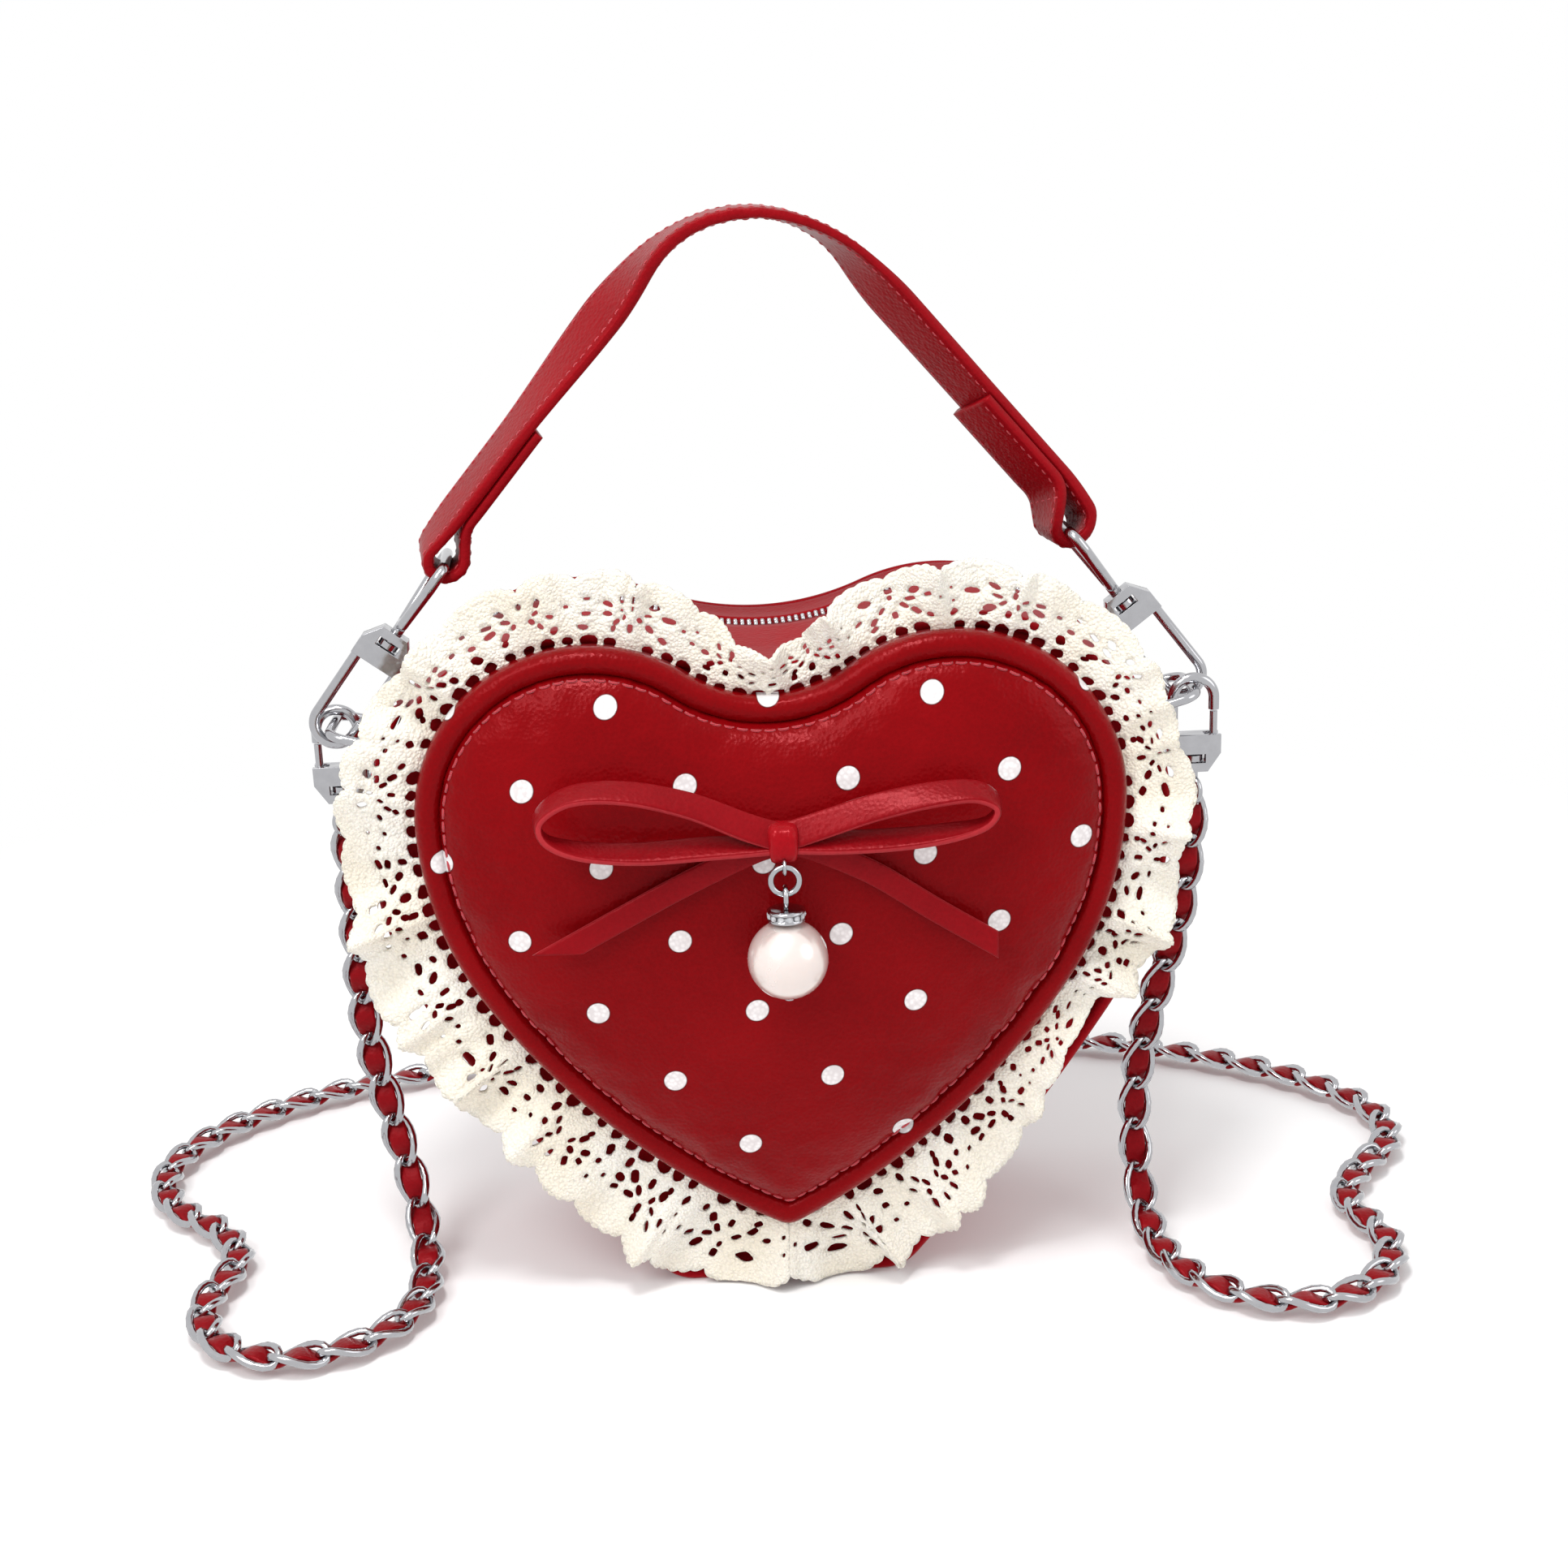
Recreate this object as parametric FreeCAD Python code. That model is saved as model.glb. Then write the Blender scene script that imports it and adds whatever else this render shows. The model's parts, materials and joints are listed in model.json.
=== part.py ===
import FreeCAD, Part
import math
import os

os.makedirs("parts", exist_ok=True)

# A heart shaped purse: a zipped heart body with a padded heart, a lace ruffle, a bow with a
# pendant, a clip-on handle and a chain strap. Millimetres, +Z up, -Y to the front, and the
# origin at the middle of the flat base.

V = FreeCAD.Vector
X, Y, Z = V(1, 0, 0), V(0, 1, 0), V(0, 0, 1)

# Body heart
LOBE_X = 49.0            # lobe centre, from the middle
LOBE_Z = 126.0           # lobe centre, above the base
LOBE_R = 52.0            # lobe radius
DIP_DROP = 10.0          # bottom of the dip, below the lobes' tops
SIDE_R = 100.0           # radius of the side below the lobe
LOW_R = 603.0            # radius of the long lower side
FOOT_HALF = 25.0         # half width of the flat base
FOOT_R = 12.0            # radius of the base corner
FOOT_MIN = 0.5           # least radius of that corner on inner outlines
FRONT_Y = -34.0          # front of the body
BACK_Y = 36.0            # back of the body
WALL_T = 2.4             # gusset wall
PANEL_T = 2.0            # front and back panels
BEAD = 3.0               # edge bead around each panel
BEAD_ROUND = 1.3         # rounding of the bead
LINING_T = 0.6
LINING_FIT = 0.3
BOARD_T = 2.0
BOARD_FIT = 2.0

# Mouth and zip
SPLIT_RISE = 12.0        # the back folds open above this height over the lobe centres
SPLIT_GAP = 0.4
ZIP_Y = 15.0
TAPE_W = 4.0             # each zip tape, from the facing to the slit's middle
TAPE_T = 1.2
SLIT = 1.6
SLIDER_W = 9.0
SLIDER_HALF = 5.5        # half length, degrees around the lobe
SLIDER_PARK = 4.0        # degrees above the lobe centre
SLIDER_TOP_T = 1.6
SLIDER_LOW_T = 1.4
SLIDER_WEB = 0.9
SLIDER_FIT = 0.35
PULL_L = 24.0
PULL_W = 4.0
PULL_T = 1.6
PULL_EYE_R = 1.9
PULL_PIN_R = 0.8
PIN_FIT = 0.07           # running fit of a pin in its eye
CHEEK_T = 1.2
CHEEK_GAP = 0.35

# Padded heart on the front
PAD_NEAR = 4.0           # its lobe centres lie this much nearer the middle than the body's
PAD_LIFT = 6.5           # and this much higher
PAD_IN = 8.5             # its lobes' radius is this much less
PAD_SIDE_IN = 11.0       # and its sides' radius this much less
PAD_LOW_R = 186.0
PAD_DIP_DROP = 14.4      # bottom of its dip, below its lobes' tops
PAD_TIP_Z = 19.0
PAD_TIP_R = 6.0
PAD_TIP_MIN = 2.0
RIM_W = 9.0              # rolled margin, from the edge to the stitch line
RIM_T = 7.7
RIM_ROUND = 2.6
PAD_CROWN = 12.5         # crown above the rolled margin
PAD_TOP_R = 3.5          # radius of the lobes where the crown has risen
PAD_STEPS = 7
PAD_FULL = 0.8           # under 1 the crown rises sooner

# Lace ruffle
LACE_T = 1.2
LACE_IN = -4.0           # sewn edge, against the padded heart's edge
LACE_KNEE = 0.9          # the pleats begin here
LACE_OUT = 18.0          # free edge
LACE_GAP = 0.3
LACE_PLEATS = 44
LACE_WAVE = 4.0          # half height of the pleats at the free edge
LACE_LEAN = 4.6          # the free edge stands forward

# Bow and pendant
BOW_X = 1.5
BOW_Z = 131.0
KNOT_W = 7.4
KNOT_H = 9.0
KNOT_D = 10.0
KNOT_ROUND = 1.6
STRIP_T = 2.0
STRIP_W = 6.6
LOOP_LEFT = 61.5         # reach of each loop from the knot's middle
LOOP_RIGHT = 53.5
LOOP_TOP = 2.1           # where a loop's two runs enter the knot, above its middle
LOOP_LOW = -1.3
TAIL_ROOT = -2.0         # where the tails enter it
TAIL_LEFT = 56.5         # reach and drop of each tail
TAIL_LEFT_DROP = 28.5
TAIL_RIGHT = 52.5
TAIL_RIGHT_DROP = 32.0
BOW_GAP = 0.6            # bow above the crown
STRIP_GAP = 0.4          # loops in front of the tails
TAIL_LIFT = 1.0          # the tails' ends stand off the crown
TAIL_BEND = 260.0        # radius of that rise
LUG_W = 3.0
LUG_DROP = 2.4
LUG_HOLE_R = 1.4
LUG_WALL = 0.7
RING_R = 3.4
RING_WIRE = 0.75
EYE_R = 2.3
EYE_WIRE = 0.65
RING_PLAY = 0.3
PEARL_R = 9.8
RONDELLE_R = 4.6
RONDELLE_T = 3.2
STONE_R = 0.75
STONES = 12
STONE_SINK = 0.4
PIN_R = 0.6
PIN_HEAD_R = 1.2
PIN_HEAD_T = 0.6
PEARL_FIT = 0.05
PEARL_GAP = 0.5          # pearl in front of the crown

# D-rings and tabs
RING_Y = -4.0            # middle of the D-rings
RING_ANGLE = 22.0        # degrees above the lobe centre
TAB_T = 2.0
TAB_W = 16.0
TAB_HALF = 10.0          # half length, degrees around the lobe
D_WIRE = 1.25
D_HALF = 11.25           # half width of the D-ring at its wire's middle
D_DEPTH = 12.0
D_ROUND = 4.5
D_BAR_ROUND = 2.0        # corners at the tab
D_LEAN = 15.0            # degrees, the ring stands a little above level
D_FIT = 0.1
TAB_WALL = 1.8
RIVET_R = 2.2
RIVET_T = 0.9
RIVET_DROP = 7.2         # degrees below the ring's bar
HOOK_Y = 4.5             # hooks sit this far from the ring's middle

# Snap hooks
HOOK_WIRE = 1.4
HOOK_R = 5.4             # bow radius at its wire's middle
HANDLE_PLAY = 0.65       # handle hook's bow to the ring's wire, room to tilt
CHAIN_PLAY = 0.3         # chain hook's bow to the ring's wire
HOOK_TIP = 5.6
HOOK_ROOT = 1.0          # the bow's wire stands this deep in the body
HANDLE_BOW = 21.0        # ring's wire to the hook body
CHAIN_BOW = 12.0
BODY_L = 10.0
BODY_HALF = 7.0
BODY_T = 5.0
NECK_HALF = 3.6
PLATE_T = 2.4
POST_R = 1.5
HEAD_R = 2.6
HEAD_T = 1.6
HEAD_GAP = 0.4
POST_SHOW = 1.2          # post between the body and the loop or eye
GATE_R = 1.0
GATE_GAP = 0.5
GATE_PIN_R = 0.8
GATE_EYE_R = 1.7
GATE_EYE_T = 2.3
GATE_SLOT = 2.8
GATE_ROOM = 4.2          # gate slot, from the body's side

# Handle
HANDLE_YAW = 3.0         # degrees, the left end stands forward
HANDLE_HALF = 79.3       # loop bars from the middle
HANDLE_BAR_Z = 192.5
HANDLE_TOP = 275.0       # middle of the strap at the top
HANDLE_ROUND = 35.0      # radius of the round top
LEG_RISE = 2.0           # straight stretch above the fold
LEG_BEND = 0.68          # share of that stretch which the bend above it takes
STRAP_W = 16.0
STRAP_T = 2.6
FOLD_R = 3.3             # inside the fold around the loop bar
FOLD_REST = 0.4          # the fold hangs on the loop bar
FLAP_L = 30.0
FLAP_GAP = 0.3
FLAP_ROUND = 8.0
LOOP_WIRE = 1.4
LOOP_ROOM = 1.7          # strap's edge to the loop's wire
LOOP_SIDE = 6.0
LOOP_FOOT = 2.4
LOOP_ROUND = 3.0
LOOP_FOOT_ROUND = 1.9

# Chain strap
LINK_WIRE = 1.0
LINK_L = 14.5            # length at the wire's middle
LINK_W = 7.5             # width at the wire's middle
LINK_PITCH = 12.0
LINK_LAY = 45.0          # degrees, links lean to either side in turn
LEATHER_R = 2.5
CHAIN_EYE_R = 3.2
CHAIN_EYE_WIRE = 1.0
CHAIN_FLOOR = 4.9        # middle of the chain above the floor
ROUND_SHARE = 0.45       # each bend takes this share of its shorter run


def sind(a):
    return math.sin(math.radians(a))


def cosd(a):
    return math.cos(math.radians(a))


def save(name, shape):
    """Write one node and say how large it is."""
    if not shape.isValid():
        print("NOT VALID", name)
    print("%-20s %10.1f mm3 %3d solids" % (name, shape.Volume, len(shape.Solids)))
    shape.exportStep("parts/%s.step" % name)


def arc_edge(a, b, c):
    return Part.Arc(a, b, c).toShape()


def cylinder(a, b, r):
    return Part.makeCylinder(r, (b - a).Length, a, b - a)


def block(x0, x1, y0, y1, z0, z1):
    return Part.makeBox(x1 - x0, y1 - y0, z1 - z0, V(x0, y0, z0))


FAR = 400.0              # past every face
NEAR = 0.01              # same place
TINY = 1e-4              # no run at all
OVER = 1.0               # cutters stand out this far


def below(shape, z):
    return shape.common(block(-FAR, FAR, -FAR, FAR, -FAR, z))


def above(shape, z):
    return shape.common(block(-FAR, FAR, -FAR, FAR, z, FAR))


class Heart:
    """A heart of tangent arcs in the XZ plane, with its parallel outlines."""

    def __init__(self, lobe_x, lobe_z, lobe_r, dip_z, side_r, low_r, foot_half, foot_z, foot_r, foot_min):
        rise = dip_z - lobe_z
        self.dip_r = (lobe_x ** 2 + rise ** 2 - lobe_r ** 2) / (2 * (lobe_r - rise))
        self.dip_c = V(0, 0, dip_z + self.dip_r)
        self.lobe_c = V(lobe_x, 0, lobe_z)
        self.lobe_r = lobe_r
        self.side_c = V(lobe_x + lobe_r - side_r, 0, lobe_z)
        self.side_r = side_r
        self.low_r = low_r
        self.foot_half = foot_half
        self.foot_r = foot_r
        self.foot_min = foot_min
        # The long lower arc touches the side's arc and the foot's corner
        line = V(foot_half, 0, foot_z + foot_r) - self.side_c
        step = V(line).normalize()
        near, far = low_r - side_r, low_r - foot_r
        along = (near ** 2 - far ** 2 + line.Length ** 2) / (2 * line.Length)
        across = math.sqrt(near ** 2 - along ** 2)
        self.low_c = self.side_c + step * along + V(step.z, 0, -step.x) * across
        normal = self.side_c - self.low_c
        self.side_turn = math.degrees(math.atan2(-normal.z, normal.x))

    def arcs(self, off):
        """The right half from the dip to the foot: centre, radius, first and last degrees."""
        r = max(self.foot_r + off, self.foot_min)
        reach = self.low_r + off - r
        drop = math.sqrt(reach ** 2 - (self.low_c.x - self.foot_half) ** 2)
        foot_c = V(self.foot_half, 0, self.low_c.z - drop)
        to_lobe = math.degrees(math.atan2(self.lobe_c.z - self.dip_c.z, self.lobe_c.x))
        to_foot = math.degrees(math.atan2(-drop, self.foot_half - self.low_c.x))
        return [
            (self.dip_c, self.dip_r - off, -90.0, to_lobe),
            (self.lobe_c, self.lobe_r + off, 180.0 + to_lobe, 0.0),
            (self.side_c, self.side_r + off, 0.0, -self.side_turn),
            (self.low_c, self.low_r + off, -self.side_turn, to_foot),
            (foot_c, r, to_foot, -90.0),
        ]

    def wire(self, off, y):
        edges = []
        for side in (1, -1):
            half = []
            for c, r, a, b in self.arcs(off):
                ends = [c + V(r * cosd(t), 0, r * sind(t)) for t in (a, (a + b) / 2, b)]
                half.append(arc_edge(*[V(side * p.x, y, p.z) for p in ends]))
            if side == 1 and self.foot_half > 0:
                c, r = self.arcs(off)[-1][:2]
                half.append(Part.makeLine(V(c.x, y, c.z - r), V(-c.x, y, c.z - r)))
            edges += half if side == 1 else half[::-1]
        return Part.Wire(Part.__sortEdges__(edges))

    def prism(self, off, y0, y1):
        return Part.Face(self.wire(off, y0)).extrude(V(0, y1 - y0, 0))

    def band(self, inner, outer, y0, y1):
        ring = Part.Face(self.wire(outer, y0)).cut(Part.Face(self.wire(inner, y0)))
        return ring.Faces[0].extrude(V(0, y1 - y0, 0))

    def walk(self, share):
        """The outline's point and outward normal at a share of the way round, from the dip."""
        arcs = self.arcs(0.0)
        spans = [r * math.radians(abs(b - a)) for c, r, a, b in arcs]
        half = sum(spans) + self.foot_half
        side = 1 if share <= 0.5 else -1
        left = 2 * half * (share if side == 1 else 1 - share)
        for k, (c, r, a, b) in enumerate(arcs):
            if left <= spans[k]:
                t = a + (b - a) * left / spans[k]
                out = V(cosd(t), 0, sind(t))
                p = c + out * r
                normal = out * -1 if k == 0 else out
                return V(side * p.x, 0, p.z), V(side * normal.x, 0, normal.z)
            left -= spans[k]
        c, r = arcs[-1][:2]
        return V(side * (self.foot_half - left), 0, c.z - r), V(0, 0, -1)


def lobe_sector(side, r0, r1, middle, half, y0, y1):
    """A plate bent around a lobe: between two radii, around an angle above the lobe's middle."""
    c = V(side * LOBE_X, y0, LOBE_Z)

    def spot(r, a):
        return c + V(side * r * cosd(a), 0, r * sind(a))

    a0, a1 = middle - half, middle + half
    outer = arc_edge(spot(r1, a0), spot(r1, middle), spot(r1, a1))
    inner = arc_edge(spot(r0, a1), spot(r0, middle), spot(r0, a0))
    ends = [Part.makeLine(spot(r1, a1), spot(r0, a1)), Part.makeLine(spot(r0, a0), spot(r1, a0))]
    return Part.Face(Part.Wire([outer, ends[0], inner, ends[1]])).extrude(V(0, y1 - y0, 0))


class Frame:
    """Local axes: along u, along v, and w from one to the other's right."""

    def __init__(self, origin, u, v):
        self.o = origin
        self.u = V(u).normalize()
        self.v = V(v).normalize()
        self.w = self.u.cross(self.v)

    def at(self, u, v, w=0.0):
        return self.o + self.u * u + self.v * v + self.w * w


def bends(points, radii):
    """The tangent points and centre of the arc at each inner point of a path."""
    found = []
    for k, r in enumerate(radii):
        before, here, after = points[k], points[k + 1], points[k + 2]
        a = (before - here).normalize()
        b = (after - here).normalize()
        half = a.getAngle(b) / 2
        reach = r / math.tan(half)
        middle = (a + b).normalize()
        centre = here + middle * (r / math.sin(half))
        found.append((here + a * reach, centre - middle * r, here + b * reach, centre))
    return found


def path_wire(points, radii):
    """Straight runs joined by tangent arcs."""
    edges = []
    last = points[0]
    for start, middle, end, centre in bends(points, radii):
        if (start - last).Length > TINY:
            edges.append(Part.makeLine(last, start))
        edges.append(arc_edge(start, middle, end))
        last = end
    if (points[-1] - last).Length > TINY:
        edges.append(Part.makeLine(last, points[-1]))
    return Part.Wire(edges)


def tube(points, radii, r):
    """A round wire along straight runs and tangent arcs."""
    path = path_wire(points, radii)
    ring = Part.Wire(Part.makeCircle(r, points[0], points[1] - points[0]))
    return path.makePipeShell([ring], True, False)


def closed_tube(points, radii, r):
    """A round wire around a closed path, begun in the middle of its first run."""
    start = (points[0] + points[1]) * 0.5
    return tube([start] + points[1:] + [points[0], start], radii[1:] + radii[:1], r)


def ribbon(points, radii, thick, frame, width):
    """A strip on edge: its path lies in the frame's u and v, and its width along w."""
    flat = [V(u, v, 0) for u, v in points]
    found = bends(flat, radii)

    def side(d):
        def shift(p, along):
            return frame.at(p.x - along.y * d, p.y + along.x * d, -width / 2)

        edges = []
        along = (flat[1] - flat[0]).normalize()
        last = shift(flat[0], along)
        for k, (start, middle, end, centre) in enumerate(found):
            ahead = (flat[k + 2] - flat[k + 1]).normalize()
            mean = (along + ahead).normalize()
            first, bend, stop = shift(start, along), shift(middle, mean), shift(end, ahead)
            if (first - last).Length > TINY:
                edges.append(Part.makeLine(last, first))
            edges.append(arc_edge(first, bend, stop))
            last, along = stop, ahead
        tip = shift(flat[-1], along)
        if (tip - last).Length > TINY:
            edges.append(Part.makeLine(last, tip))
        return edges, shift(flat[0], (flat[1] - flat[0]).normalize()), tip

    left, left_start, left_end = side(thick / 2)
    right, right_start, right_end = side(-thick / 2)
    caps = [Part.makeLine(left_start, right_start), Part.makeLine(left_end, right_end)]
    outline = Part.Wire(Part.__sortEdges__(left + right + caps))
    return Part.Face(outline).extrude(frame.w * width)


SPLIT_Z = LOBE_Z + SPLIT_RISE
DIP_Z = LOBE_Z + LOBE_R - DIP_DROP
PAD_LOBE_X, PAD_LOBE_Z, PAD_LOBE_R = LOBE_X - PAD_NEAR, LOBE_Z + PAD_LIFT, LOBE_R - PAD_IN
PAD_SIDE_R = SIDE_R - PAD_SIDE_IN
PAD_SLOPE_W = PAD_LOBE_R - RIM_W - PAD_TOP_R
PAD_DIP_Z = PAD_LOBE_Z + PAD_LOBE_R - PAD_DIP_DROP
BODY = Heart(LOBE_X, LOBE_Z, LOBE_R, DIP_Z, SIDE_R, LOW_R, FOOT_HALF, 0.0, FOOT_R, FOOT_MIN)
PAD = Heart(PAD_LOBE_X, PAD_LOBE_Z, PAD_LOBE_R, PAD_DIP_Z, PAD_SIDE_R, PAD_LOW_R, 0.0, PAD_TIP_Z, PAD_TIP_R,
            PAD_TIP_MIN)
GUSSET_FRONT = FRONT_Y + BEAD
GUSSET_BACK = BACK_Y - BEAD
PANEL_FRONT = GUSSET_FRONT - PANEL_T
SEW_Y = FRONT_Y - LACE_GAP
PAD_BACK = SEW_Y - LACE_T - LACE_GAP
RIM_FRONT = PAD_BACK - RIM_T
CROWN_Y = RIM_FRONT - PAD_CROWN
ZIP_FRONT = ZIP_Y - TAPE_W
ZIP_REAR = ZIP_Y + TAPE_W


def between_y(shape, y0, y1):
    return shape.common(block(-FAR, FAR, y0, y1, -FAR, FAR))


def bead(y0, y1, outer_y):
    """The rounded edge around a panel."""
    ring = BODY.band(-BEAD, 0.0, y0, y1)
    rims = [e for e in ring.Edges
            if abs(e.BoundBox.YMin - outer_y) < NEAR and abs(e.BoundBox.YMax - outer_y) < NEAR]
    return ring.makeFillet(BEAD_ROUND, rims)


def make_shell():
    """Panels, gusset, facings, beads, linings and base board."""
    flap_z = SPLIT_Z + SPLIT_GAP
    save("front_panel", BODY.prism(-BEAD, PANEL_FRONT, GUSSET_FRONT))
    back = BODY.prism(-BEAD, GUSSET_BACK, GUSSET_BACK + PANEL_T)
    save("back_panel_lower", below(back, SPLIT_Z))
    save("back_panel_top", above(back, flap_z))
    save("front_bead", bead(FRONT_Y, GUSSET_FRONT, FRONT_Y))
    rear_bead = bead(GUSSET_BACK, BACK_Y, BACK_Y)
    save("back_bead_lower", below(rear_bead, SPLIT_Z))
    save("back_bead_top", above(rear_bead, flap_z))

    wall = BODY.band(-WALL_T, 0.0, GUSSET_FRONT, GUSSET_BACK)
    slot_low = LOBE_Z + LOBE_R * sind(SLIDER_PARK - SLIDER_HALF) - SLIDER_FIT
    slot = block(-FAR, -LOBE_X, ZIP_Y - SLIT / 2, ZIP_Y + SLIT / 2, slot_low, SPLIT_Z)
    save("gusset", below(wall, SPLIT_Z).cut(slot))
    save("zip_facing_front", between_y(above(wall, SPLIT_Z), GUSSET_FRONT, ZIP_FRONT))
    save("zip_facing_rear", between_y(above(wall, flap_z), ZIP_REAR, GUSSET_BACK))

    inner = -WALL_T / 2 - TAPE_T / 2
    tape = BODY.band(inner, inner + TAPE_T, ZIP_FRONT, ZIP_REAR)
    save("zip_teeth_front", between_y(above(tape, SPLIT_Z), ZIP_FRONT, ZIP_Y - SLIT / 2))
    save("zip_teeth_rear", between_y(above(tape, flap_z), ZIP_Y + SLIT / 2, ZIP_REAR))

    room = -WALL_T - LINING_FIT
    save("lining_front", BODY.prism(room, GUSSET_FRONT, GUSSET_FRONT + LINING_T))
    save("lining_back", below(BODY.prism(room, GUSSET_BACK - LINING_T, GUSSET_BACK), SPLIT_Z))
    save("base_board", block(-FOOT_HALF, FOOT_HALF, GUSSET_FRONT + BOARD_FIT, GUSSET_BACK - BOARD_FIT,
                             WALL_T, WALL_T + BOARD_T))


def make_zip_slider():
    """The slider runs around the left lobe, with a web through the slit and a hanging pull."""
    side = -1
    y0, y1 = ZIP_Y - SLIDER_W / 2, ZIP_Y + SLIDER_W / 2
    top = LOBE_R + SLIDER_FIT
    low = LOBE_R - WALL_T - SLIDER_FIT
    over = lobe_sector(side, top, top + SLIDER_TOP_T, SLIDER_PARK, SLIDER_HALF, y0, y1)
    under = lobe_sector(side, low - SLIDER_LOW_T, low, SLIDER_PARK, SLIDER_HALF, y0, y1)
    web = lobe_sector(side, low - SLIDER_LOW_T, top + SLIDER_TOP_T, SLIDER_PARK, SLIDER_HALF / 2,
                      ZIP_Y - SLIDER_WEB / 2, ZIP_Y + SLIDER_WEB / 2)
    slider = over.fuse([under, web])

    pin_r = top + SLIDER_TOP_T + PULL_EYE_R + SLIDER_FIT
    pin_at = V(side * (LOBE_X + pin_r * cosd(SLIDER_PARK)), ZIP_Y, LOBE_Z + pin_r * sind(SLIDER_PARK))
    cheek_y = PULL_W / 2 + CHEEK_GAP
    half = math.degrees(PULL_EYE_R / LOBE_R)
    for s in (-1, 1):
        a, b = sorted((ZIP_Y + s * cheek_y, ZIP_Y + s * (cheek_y + CHEEK_T)))
        slider = slider.fuse(lobe_sector(side, top, pin_r + PULL_PIN_R, SLIDER_PARK, half, a, b))
    reach = Y * (cheek_y + CHEEK_T)
    slider = slider.fuse(cylinder(pin_at - reach, pin_at + reach, PULL_PIN_R)).removeSplitter()
    save("zip_slider", slider)

    wide = Y * (PULL_W / 2)
    eye = cylinder(pin_at - wide, pin_at + wide, PULL_EYE_R)
    leaf = block(pin_at.x - PULL_T / 2, pin_at.x + PULL_T / 2, ZIP_Y - PULL_W / 2, ZIP_Y + PULL_W / 2,
                 pin_at.z - PULL_L, pin_at.z)
    hole = cylinder(pin_at - Y * PULL_W, pin_at + Y * PULL_W, PULL_PIN_R + PIN_FIT)
    save("zip_pull", leaf.fuse(eye).cut(hole).removeSplitter())
    print("zip pull pin at", pin_at)


def make_padded_heart():
    """The rolled margin, and the crowned pad that is sewn inside it."""
    rim = PAD.band(-RIM_W, 0.0, PAD_BACK, RIM_FRONT)
    fronts = [e for e in rim.Edges if abs(e.BoundBox.YMax - RIM_FRONT) < NEAR]
    save("heart_rim", rim.makeFillet(RIM_ROUND, fronts))

    seam = RIM_FRONT + RIM_ROUND
    sections = [PAD.wire(-RIM_W, PANEL_FRONT)]
    for k in range(PAD_STEPS + 1):
        t = k / PAD_STEPS
        y = seam - (seam - CROWN_Y) * sind(90 * t) ** PAD_FULL
        sections.append(PAD.wire(-RIM_W - PAD_SLOPE_W * t, y))
    save("heart_pad", Part.makeLoft(sections, True, True))


def make_lace():
    """A gathered ruffle: flat where it is sewn under the margin, pleated at its free edge."""
    steps = LACE_PLEATS * 4
    sections = []
    for k in range(steps):
        p, n = PAD.walk(k / steps)
        free_y = SEW_Y - LACE_LEAN + LACE_WAVE * cosd(90 * k)
        rows = [(LACE_IN, SEW_Y), (LACE_KNEE, SEW_Y), (LACE_OUT, free_y)]
        back = [p + n * off + Y * y for off, y in rows]
        front = [q - Y * LACE_T for q in back[::-1]]
        sections.append(Part.makePolygon(back + front + back[:1]))
    save("lace_ruffle", Part.makeLoft(sections, True, True, True))


LOOP_Y = CROWN_Y - BOW_GAP - STRIP_T - STRIP_GAP - STRIP_W / 2
TAIL_Y = CROWN_Y - BOW_GAP - STRIP_T / 2
PENDANT_Y = CROWN_Y - PEARL_GAP - PEARL_R
KNOT_FOOT = BOW_Z - KNOT_H / 2
LUG_HOLE_Z = KNOT_FOOT - LUG_DROP + LUG_WALL + LUG_HOLE_R


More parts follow.
